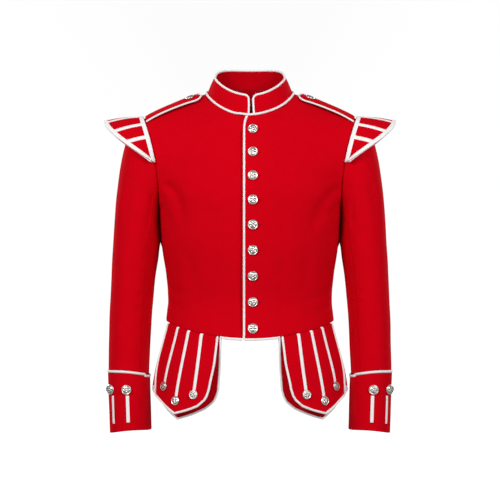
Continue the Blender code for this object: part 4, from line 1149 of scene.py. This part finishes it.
def make_cuffs(wool, white, metal):
    levels = [0.0, 0.006, 0.015, 0.03, 0.05, *np.linspace(0.08, 0.94, 26), 0.965, 0.98, 0.99, 1.0]
    angles = np.linspace(0.0, 360.0, 96, endpoint=False)
    base = grid_of(cuff_point, levels, angles)
    for side, sign, seed in (("left", 1, 9.0), ("right", -1, 10.0)):
        flip = Vector((sign, 1, 1))
        calm = np.broadcast_to(np.sin(math.pi * np.array(levels))[:, None] * 0.5, base.shape[:2])
        grid = base + normals_of(base, CUFF_INSIDE, True) * (waves(base, seed) * calm)[:, :, None]
        grid[:, :, 0] *= sign
        piece = cloth(f"cuff_{side}_cloth", grid, [f"cuff_{side}"], [wool], CUFF_INSIDE * flip,
                      closed=True)
        path = []
        for angle in range(CUFF_CORD_START, CUFF_CORD_START + 360 + CUFF_CORD_OVERLAP, CUFF_CORD_TURN):
            above = ring_point(SLEEVE_RINGS, len(SLEEVE_RINGS) - 1, angle)
            below = cuff_point(0.0, angle)
            outward = below - CUFF_INSIDE
            outward.z = 0.0
            sink = WALL / 2.0 - CUFF_PIPING_PROUD
            run = (angle - CUFF_CORD_START) / 360.0
            late = smooth((run - CUFF_CORD_STEPS_FROM) / CUFF_CORD_STEPS_OVER)
            path.append((above + below) / 2.0 - outward.normalized() * (sink - CUFF_CORD_PROUD * late)
                        - Vector((0.0, 0.0, CUFF_CORD_STEP * late)))
        piping(f"cuff_cord_{side}", mirrored(path, sign), CUFF_PIPING_RADIUS, [f"cuff_piping_{side}"],
               white)
        for line, button_angle, angle in CUFF_LINES:
            normal = normal_of(cuff_point, CUFF_BUTTON_SHARE, button_angle, CUFF_INSIDE)
            centre = cuff_point(CUFF_BUTTON_SHARE, button_angle)
            if line == "side":
                normal = (normal + Vector((0.0, -SIDE_BUTTON_LEAN, 0.0))).normalized()
                centre += Vector((SIDE_BUTTON_OUT, 0.0, 0.0))
            button(f"cuff_button_{line}_{side}", centre * flip, normal * flip, BUTTON_RADIUS,
                   0.4 * seed + button_angle, metal)
            spine, sides, normals = [], [], []
            for share in np.linspace(CUFF_STRIPE_FROM, CUFF_STRIPE_TO, 24):
                across = cuff_point(share, angle + 2.0) - cuff_point(share, angle - 2.0)
                spine.append(cuff_point(share, angle) * flip)
                sides.append(across.normalized() * flip)
                normals.append(normal_of(cuff_point, share, angle, CUFF_INSIDE) * flip)
            braid_band(f"cuff_braid_{line}_{side}", spine, sides, normals, STRIPE_WIDTH / 2.0,
                       [f"cuff_stripe_{line}_{side}"], white, CUFF_INSIDE * flip, lift=STRIPE_LIFT)


def make_tashes(wool, white, metal):
    edge_downs = [-TUCK_UP, -0.5 * TUCK_UP, 0.0, 0.008, 0.016, 0.025, 0.038,
                  *np.linspace(0.06, 0.95, 34), 0.97, 0.985, 0.994, 1.0]
    acrosses = [0.0, 0.006, 0.016, 0.03, 0.05, *np.linspace(0.08, 0.92, 30), 0.95, 0.97, 0.984, 0.994, 1.0]
    acrosses = sorted({*acrosses, 0.21, 0.42, 0.64, 0.81})
    reach = PIPING_RADIUS + TOUCH
    outline_downs = list(np.linspace(0.02, 0.93, 20))

    def outline_of(surface, inset, wider):
        """The flap's outline from its inner top corner round its foot, and up its outer edge
        where the flap isn't widened."""
        full = 1.0 + wider / (surface["outer_foot_x"] - surface["inner_foot_x"])
        along = [(0.0, down) for down in outline_downs]
        along += [(across, 1.0) for across in (
            0.035, 0.05, 0.08, 0.12, 0.16, 0.21, 0.26, 0.31, 0.36, 0.42, 0.48, 0.53, 0.58, 0.61, 0.64,
            0.67, 0.73, 0.81, 0.9, full)]
        if wider:
            along += [(full, 0.965), (full, 0.94)]
        else:
            along += [(1.0, down) for down in reversed(outline_downs)]
        edge = [tash_point(surface, across, down) for across, down in along]
        normals = [flap_normal(surface, across, down) for across, down in along]
        return beside_edge(edge, normals, 1.0, inset, 0.0)

    def flap_grid(surface, inset, wider):
        """Points of a flap whose inner edge and foot are drawn in by the inset."""
        grid = []
        for down in edge_downs:
            row = []
            for across in acrosses:
                width = surface["outer_x"] - surface["inner_x"]
                full = 1.0 + wider * smooth(down / UNDER_TASH_WIDE_BY) / width
                from_edge = lerp(inset / width, full, across)
                hang = (tash_point(surface, from_edge, 1.0) - tash_point(surface, from_edge, 0.0)).length
                row.append(tuple(tash_point(surface, from_edge, down * (1.0 - inset / hang))))
            grid.append(row)
        return np.array(grid)

    for kind, surface, inset, wider in (("top", TOP_TASH, 0.0, 0.0),
                                        ("under", UNDER_TASH, 2.0 * PIPING_RADIUS, UNDER_TASH_WIDER)):
        base = flap_grid(surface, inset, wider)
        normal = normals_of(base, TASH_INSIDE)
        for side, sign, seed in (("left", 1, 12.0), ("right", -1, 14.0)):
            flip = Vector((sign, 1, 1))
            fade = soft_step((edge_distance(base, ("top", "bottom", "start", "end")) - 4.0) / 16.0)
            grid = base + normal * (waves(base, seed) * fade * TASH_WAVES[kind])[:, :, None]
            grid[:, :, 0] *= sign
            piece = cloth(f"{kind}_tash_{side}_cloth", grid, [f"{kind}_tash_{side}"], [wool],
                          TASH_INSIDE * flip)
            if kind == "under":
                path = outline_of(UNDER_TASH, -PIPING_RADIUS, wider)
                cord = piping(f"under_tash_cord_{side}", mirrored(path, sign), UNDER_TASH_CORD_RADIUS, [],
                              white)
            else:
                path = outline_of(TOP_TASH, reach, wider)
                piping(f"top_tash_cord_{side}", mirrored(path, sign), PIPING_RADIUS,
                       [f"top_tash_piping_{side}"], white)
    for side, sign, seed in (("left", 1, 12.0), ("right", -1, 14.0)):
        flip = Vector((sign, 1, 1))
        for line, top, foot, down in TASH_LINES:
            place_at = lerp(top, foot, down)
            centre = tash_point(TOP_TASH, place_at, down) * flip
            normal = flap_normal(TOP_TASH, place_at, down) * flip
            button(f"tash_button_{line}_{side}", centre + normal * 0.25, normal, SMALL_BUTTON_RADIUS,
                   seed + 7.0 * top, metal)
            spine, sides, normals = [], [], []
            stop = down - (SMALL_BUTTON_RADIUS - 2.0) / TASH_LENGTH
            for level in np.linspace(0.004, stop, 44):
                across = lerp(top, foot, level)
                wide = tash_point(TOP_TASH, across + 0.01, level) - tash_point(TOP_TASH, across - 0.01, level)
                spine.append(tash_point(TOP_TASH, across, level) * flip)
                sides.append(wide.normalized() * flip)
                normals.append(flap_normal(TOP_TASH, across, level) * flip)
            braid_band(f"tash_braid_{line}_{side}", spine, sides, normals, STRIPE_WIDTH / 2.0,
                       [f"tash_stripe_{line}_{side}"], white, TASH_INSIDE * flip, lift=STRIPE_LIFT)


def make_wings(wool, white):
    angles = {-90.0, 90.0}
    for bar in WING_BARS:
        angles.update(bar + WING_BAR_HALF_ANGLE * share for share in (-1.0, -0.8, -0.4, 0.0, 0.4, 0.8, 1.0))
    angles.update(angle for angle in np.linspace(-90.0, 90.0, 91)
                  if all(abs(angle - bar) > WING_BAR_HALF_ANGLE + 0.6 for bar in WING_BARS))
    angles = sorted(angles)
    band = (0.0, 0.08, 0.25, 0.5, 0.75, 0.92, 1.0)
    grid, border_share, outs_used = [], [], []
    for angle in angles:
        width = (wing_point(angle, 1.0) - wing_point(angle, 0.0)).length
        border = min(WING_BRAID_WIDTH / width, 0.49)
        outs = [border * share for share in band]
        outs += list(np.linspace(border, 1.0 - border, 12))[1:-1]
        outs += [1.0 - border * share for share in reversed(band)]
        grid.append([tuple(wing_point(angle, out)) for out in outs])
        outs_used.append(outs)
        border_share.append(border)
    grid = np.array(grid)
    normal = normals_of(grid, WING_INSIDE)
    last = len(outs_used[0]) - 1
    edge = len(band) - 1

    def profile(share):
        return 1.0 - BRAID_EDGE_DROP * abs(share) ** 4

    crown = np.zeros(grid.shape[:2])
    for row, angle in enumerate(angles):
        for column in range(last + 1):
            height = 0.0
            near = min(column, last - column)
            if near <= edge:
                height = profile(2.0 * band[near] - 1.0)
            for bar in WING_BARS:
                off = (angle - bar) / WING_BAR_HALF_ANGLE
                if abs(off) <= 1.0:
                    height = max(height, profile(off))
            if border_share[row] > WING_CLOSED_SHARE:
                height = max(height, 0.8)
            crown[row, column] = height

    def is_braid(row, column):
        if column < edge or column >= last - edge:
            return True
        middle = (angles[row] + angles[row + 1]) / 2.0
        if border_share[row] > WING_CLOSED_SHARE:
            return True
        return any(abs(middle - bar) < WING_BAR_HALF_ANGLE for bar in WING_BARS)

    braid = grid + normal * (0.2 + BRAID_THICKNESS * crown)[:, :, None]
    for side, sign in (("left", 1), ("right", -1)):
        inside = WING_INSIDE * Vector((sign, 1, 1))
        flip = np.array((sign, 1.0, 1.0))
        piece = cloth(f"wing_{side}_cloth", grid * flip, [f"wing_{side}"], [wool, white], inside,
                      thickness=WING_WALL)
        cloth(f"wing_trim_{side}", braid * flip, [f"wing_braid_{side}"], [white], inside,
              thickness=BRAID_THICKNESS * 0.5, keep=is_braid)


def make_straps(wool, white, metal):
    inset = 2.0 * STRAP_PIPING_RADIUS
    steps = [step / 8.0 for step in range(8 * (len(STRAP_OUTLINE) - 1) + 1)]
    shares = [-1.0, -0.985, -0.96, -0.92, *np.linspace(-0.86, 0.86, 21), 0.92, 0.96, 0.985, 1.0]
    lift = SEAM_GAP + STRAP_THICKNESS + STRAP_CLEARANCE
    end = STRAP_OUTLINE[-1]["along"]
    length = (shoulder_point(0.03, 0.0) - shoulder_point(end, 0.0)).length / (end - 0.03)

    def strap_point(along, offset, height):
        return shoulder_point(along, offset) + strap_normal(along, offset) * height

    def laid(alongs, offsets):
        """Points of the strap over the shoulder, eased over the shoulder seam."""
        grid = np.array([[tuple(shoulder_point(along, offset)) for offset in row]
                         for along, row in zip(alongs, offsets)])
        for _ in range(12):
            grid[:, 1:-1] += (grid[:, :-2] + grid[:, 2:] - 2.0 * grid[:, 1:-1]) * 0.25
        bow = np.array([strap_bow(share) for share in np.linspace(0.0, 1.0, len(grid))])[:, None, None]
        return grid + normals_of(grid, STRAP_INSIDE) * (lift + bow)

    def half_at(at):
        return column_at(STRAP_OUTLINE, "along", at), column_at(STRAP_OUTLINE, "half_width", at)

    alongs, offsets, front, back = [], [], [], []
    for at in steps:
        along, half = half_at(at)
        short = inset / length * smooth((at - 3.0) / 2.0)
        alongs.append(along - short)
        offsets.append([share * max(half - inset, 1.0) for share in shares])
        if at * 2 == int(at * 2):
            middle = STRAP_PIPING_RADIUS
            reach = along - 0.5 * short
            height = lift - 0.3 + strap_bow(at / (len(STRAP_OUTLINE) - 1))
            front.append(strap_point(reach, -(half - middle), height))
            back.append(strap_point(reach, half - middle, height))
    grid = laid(alongs, offsets)
    for side, sign in (("left", 1), ("right", -1)):
        flip = Vector((sign, 1, 1))
        mirror = np.array((sign, 1.0, 1.0))
        piece = cloth(f"strap_{side}_cloth", grid * mirror, [f"strap_{side}"], [wool],
                      STRAP_INSIDE * flip, thickness=STRAP_THICKNESS)
        cord = piping(f"strap_cord_{side}", mirrored(front + back[::-1], sign), STRAP_PIPING_RADIUS, [],
                      white)
        normal = strap_normal(STRAP_BUTTON_ALONG, 0.0)
        centre = shoulder_point(STRAP_BUTTON_ALONG, 0.0) + normal * (lift + STRAP_BUTTON_LIFT)
        button(f"strap_button_{side}", centre * flip, normal * flip, SMALL_BUTTON_RADIUS, 0.7 * sign, metal)


def front_button_z(index):
    """The height of a front button: they close up at the top, where the front slopes."""
    share = index / (FRONT_BUTTONS - 1)
    return lerp(FIRST_BUTTON_Z, LAST_BUTTON_Z, share) + BUTTONS_CLOSE_UP * math.sin(math.pi * share)


def make_front_buttons(metal, thread):
    for index in range(FRONT_BUTTONS):
        row = row_at_z("front", front_button_z(index), FRONT_BUTTON_X)
        across = across_at_x("front", row, FRONT_BUTTON_X)
        normal = body_normal("front", row, across)
        button(f"front_button_{index + 1}", left_front_point(row, across), normal, BUTTON_RADIUS,
               0.9 * index, metal)
        start, middle, end = (left_front_point(row, across_at_x("front", row, FRONT_BUTTON_X + reach))
                              for reach in BUTTONHOLE)
        up = normal.cross(Vector((-1.0, 0.0, 0.0))).normalized()
        path = []
        for turn in np.linspace(0.0, 2.0 * math.pi, 28, endpoint=False):
            t = math.copysign(abs(math.cos(turn)) ** 0.7, math.cos(turn))
            on = middle + (end - start) * (t / 2.0) + (end + start - middle * 2.0) * (t * t / 2.0)
            path.append(on + up * (BUTTONHOLE_HALF_HEIGHT * math.sin(turn)) + normal * 0.2)
        piping(f"buttonhole_{index + 1}", path, BUTTONHOLE_RADIUS, [], thread, closed=True,
               step=1.2)


def shader_of(name):
    made = bpy.data.materials.new(name)
    made.use_nodes = True
    return made, made.node_tree, made.node_tree.nodes["Principled BSDF"]


def node(tree, kind, **values):
    """A node with its settings, and its input values by name."""
    made = tree.nodes.new(kind)
    for key, value in values.items():
        if key in made.inputs:
            made.inputs[key].default_value = value
        else:
            setattr(made, key, value)
    return made


def flat_map(tree, turn, scale):
    """The piece's flat map, turned and scaled."""
    source = node(tree, "ShaderNodeUVMap", uv_map="UVMap")
    mapping = node(tree, "ShaderNodeMapping")
    mapping.inputs["Rotation"].default_value = (0.0, 0.0, math.radians(turn))
    mapping.inputs["Scale"].default_value = scale
    tree.links.new(source.outputs["UV"], mapping.inputs["Vector"])
    return mapping.outputs["Vector"]


def place_map(tree):
    return node(tree, "ShaderNodeTexCoord").outputs["Object"]


def mixed(tree, share, first, second):
    mix = node(tree, "ShaderNodeMix", data_type="RGBA")
    mix.inputs["A"].default_value = (*first, 1.0)
    mix.inputs["B"].default_value = (*second, 1.0)
    tree.links.new(share, mix.inputs["Factor"])
    return mix.outputs["Result"]


def add_bump(tree, shader, layers):
    """Layers of relief: a height output and its depth in metres."""
    below = None
    for height, depth in layers:
        bump = node(tree, "ShaderNodeBump", Strength=1.0, Distance=depth)
        tree.links.new(height, bump.inputs["Height"])
        if below is not None:
            tree.links.new(below, bump.inputs["Normal"])
        below = bump.outputs["Normal"]
    tree.links.new(below, shader.inputs["Normal"])


def noise_height(tree, vector, scale, detail=3.0, roughness=0.6):
    made = node(tree, "ShaderNodeTexNoise", Scale=scale, Detail=detail, Roughness=roughness)
    tree.links.new(vector, made.inputs["Vector"])
    return made.outputs["Fac"]


def ribs(tree, vector, pitch, distortion=0.0):
    """Ribs across the first axis of a map, a pitch apart."""
    made = node(tree, "ShaderNodeTexWave", Scale=1.0 / pitch / 20.0 * 2.0 * math.pi,
                Distortion=distortion, Detail=1.0)
    made.wave_type = "BANDS"
    made.bands_direction = "X"
    tree.links.new(vector, made.inputs["Vector"])
    return made.outputs["Fac"]


def wool_finish(name, deep, bright):
    """Milled wool: a close twill under a short nap, with a soft sheen."""
    made, tree, shader = shader_of(name)
    place = place_map(tree)
    mottle = noise_height(tree, place, 55.0, 4.0, 0.55)
    tree.links.new(mixed(tree, mottle, deep, bright), shader.inputs["Base Color"])
    shader.inputs["Roughness"].default_value = 0.92
    shader.inputs["Specular IOR Level"].default_value = 0.03
    shader.inputs["Sheen Weight"].default_value = 0.04
    shader.inputs["Sheen Roughness"].default_value = 0.4
    shader.inputs["Sheen Tint"].default_value = (1.0, 0.06, 0.08, 1.0)
    twill = ribs(tree, flat_map(tree, 58.0, (1.0, 1.0, 1.0)), 0.0011, 0.6)
    nap = noise_height(tree, place, 900.0, 3.0, 0.65)
    felt = noise_height(tree, place, 160.0, 3.0, 0.5)
    add_bump(tree, shader, ((twill, 0.00007), (nap, 0.00016), (felt, 0.00022)))
    return made


def braid_finish(name):
    """White woven braid with fine cross ribs."""
    made, tree, shader = shader_of(name)
    place = place_map(tree)
    mottle = noise_height(tree, place, 220.0, 3.0, 0.5)
    tree.links.new(mixed(tree, mottle, (0.92, 0.89, 0.89), (0.97, 0.95, 0.95)), shader.inputs["Base Color"])
    shader.inputs["Roughness"].default_value = 0.72
    shader.inputs["Specular IOR Level"].default_value = 0.3
    shader.inputs["Sheen Weight"].default_value = 0.1
    cross = ribs(tree, flat_map(tree, 62.0, (1.0, 1.0, 1.0)), 0.0009, 0.4)
    other = ribs(tree, flat_map(tree, -62.0, (1.0, 1.0, 1.0)), 0.0009, 0.4)
    fuzz = noise_height(tree, place, 1100.0, 2.0, 0.6)
    add_bump(tree, shader, ((cross, 0.00010), (other, 0.00010), (fuzz, 0.00008)))
    return made


def metal_finish(name):
    """Silver plate whose colour carries painted shade: darkened unevenly in the relief's low ground and on
    the button's side and back, and bright on the raised relief.
    """
    made, tree, shader = shader_of(name)
    # The painted shade stored on the button's points.
    low = node(tree, "ShaderNodeAttribute", attribute_name="painted_shade")
    place = place_map(tree)
    # Noise that makes the painted shade uneven.
    painted_shade_noise = noise_height(tree, place, 420.0, 3.0, 0.6)
    both = node(tree, "ShaderNodeMath", operation="MULTIPLY")
    tree.links.new(low.outputs["Fac"], both.inputs[0])
    lift = node(tree, "ShaderNodeMapRange")
    lift.inputs["From Min"].default_value = 0.3
    lift.inputs["From Max"].default_value = 0.6
    lift.inputs["To Min"].default_value = 0.8
    tree.links.new(painted_shade_noise, lift.inputs["Value"])
    tree.links.new(lift.outputs["Result"], both.inputs[1])
    # Silver colour, mixed towards near black by the painted shade; the roughness follows the same amount.
    tree.links.new(mixed(tree, both.outputs["Value"], (0.80, 0.765, 0.72), (0.028, 0.025, 0.022)),
                   shader.inputs["Base Color"])
    shader.inputs["Metallic"].default_value = 1.0
    dull = node(tree, "ShaderNodeMapRange")
    dull.inputs["To Min"].default_value = 0.3
    dull.inputs["To Max"].default_value = 0.5
    tree.links.new(both.outputs["Value"], dull.inputs["Value"])
    tree.links.new(dull.outputs["Result"], shader.inputs["Roughness"])
    add_bump(tree, shader, ((noise_height(tree, place, 1500.0, 2.0, 0.6), 0.00004),))
    return made


def plain_finish(name, colour):
    made, _, shader = shader_of(name)
    shader.inputs["Base Color"].default_value = (*colour, 1.0)
    shader.inputs["Roughness"].default_value = 0.9
    shader.inputs["Specular IOR Level"].default_value = 0.1
    return made


def make_stage():
    """A pale floor far below that rises round the part, out of the way of its light."""
    profile = [(0.02, 0.0)]
    profile += [(FLOOR_RADIUS + FLOOR_BEND * math.sin(turn), FLOOR_BEND * (1.0 - math.cos(turn)))
                for turn in np.linspace(0.0, math.pi / 2.0, 16)]
    profile += [(FLOOR_RADIUS + FLOOR_BEND, 9.0)]
    count = 96
    verts = [(reach * math.cos(2.0 * math.pi * k / count), reach * math.sin(2.0 * math.pi * k / count),
              FLOOR_Z + rise) for reach, rise in profile for k in range(count)]
    faces = [[ring * count + k, ring * count + (k + 1) % count, (ring + 1) * count + (k + 1) % count,
              (ring + 1) * count + k] for ring in range(len(profile) - 1) for k in range(count)]
    faces.append(list(range(count))[::-1])
    mesh = bpy.data.meshes.new("floor")
    mesh.from_pydata(verts, [], faces)
    pale = plain_finish("pale_floor", (0.88, 0.88, 0.88))
    shader = pale.node_tree.nodes["Principled BSDF"]
    shader.inputs["Emission Color"].default_value = (1.0, 1.0, 1.0, 1.0)
    shader.inputs["Emission Strength"].default_value = FLOOR_GLOW
    mesh.materials.append(pale)
    mesh.shade_smooth()
    floor = bpy.data.objects.new("floor", mesh)
    bpy.context.scene.collection.objects.link(floor)
    floor.visible_shadow = False
    floor.visible_diffuse = False
    floor.visible_glossy = False
    floor.visible_transmission = False


def make_camera():
    data = bpy.data.cameras.new("camera")
    data.sensor_width = 36.0
    data.lens = CAMERA_LENS
    data.clip_start, data.clip_end = 0.05, 60.0
    camera = bpy.data.objects.new("camera", data)
    bpy.context.scene.collection.objects.link(camera)
    camera.location = CAMERA_PLACE
    camera.rotation_euler = (math.radians(90.0), 0.0, 0.0)
    bpy.context.scene.camera = camera


def make_light(name, place, target, size, power):
    data = bpy.data.lights.new(name, "AREA")
    data.shape = "DISK"
    data.size = size
    data.energy = power
    lamp = bpy.data.objects.new(name, data)
    bpy.context.scene.collection.objects.link(lamp)
    lamp.location = place
    aim = Vector(target) - Vector(place)
    lamp.rotation_euler = aim.to_track_quat("-Z", "Y").to_euler()
    return lamp


def make_lights():
    for name, place, size, power in LIGHTS:
        make_light(name, place, LIGHT_TARGET, size, power)
    world = bpy.data.worlds.new("studio")
    bpy.context.scene.world = world
    world.use_nodes = True
    back = world.node_tree.nodes["Background"]
    back.inputs["Color"].default_value = (1.0, 1.0, 1.0, 1.0)
    back.inputs["Strength"].default_value = WORLD_STRENGTH
    bpy.context.scene.view_settings.view_transform = "Standard"
    bpy.context.scene.view_settings.look = "None"


def main():
    wool = wool_finish("red_wool", (0.56, 0.0, 0.0055), (0.64, 0.0, 0.0075))
    white = braid_finish("white_braid")
    metal = metal_finish("silver_metal")
    thread = plain_finish("red_thread", (0.36, 0.002, 0.006))
    make_fronts(wool)
    make_backs(wool)
    make_collar(wool, white)
    make_neck_cord(white)
    make_front_cords(white)
    make_sleeves(wool)
    make_cuffs(wool, white, metal)
    make_tashes(wool, white, metal)
    make_wings(wool, white)
    make_straps(wool, white, metal)
    make_front_buttons(metal, thread)
    make_stage()
    make_camera()
    make_lights()


main()
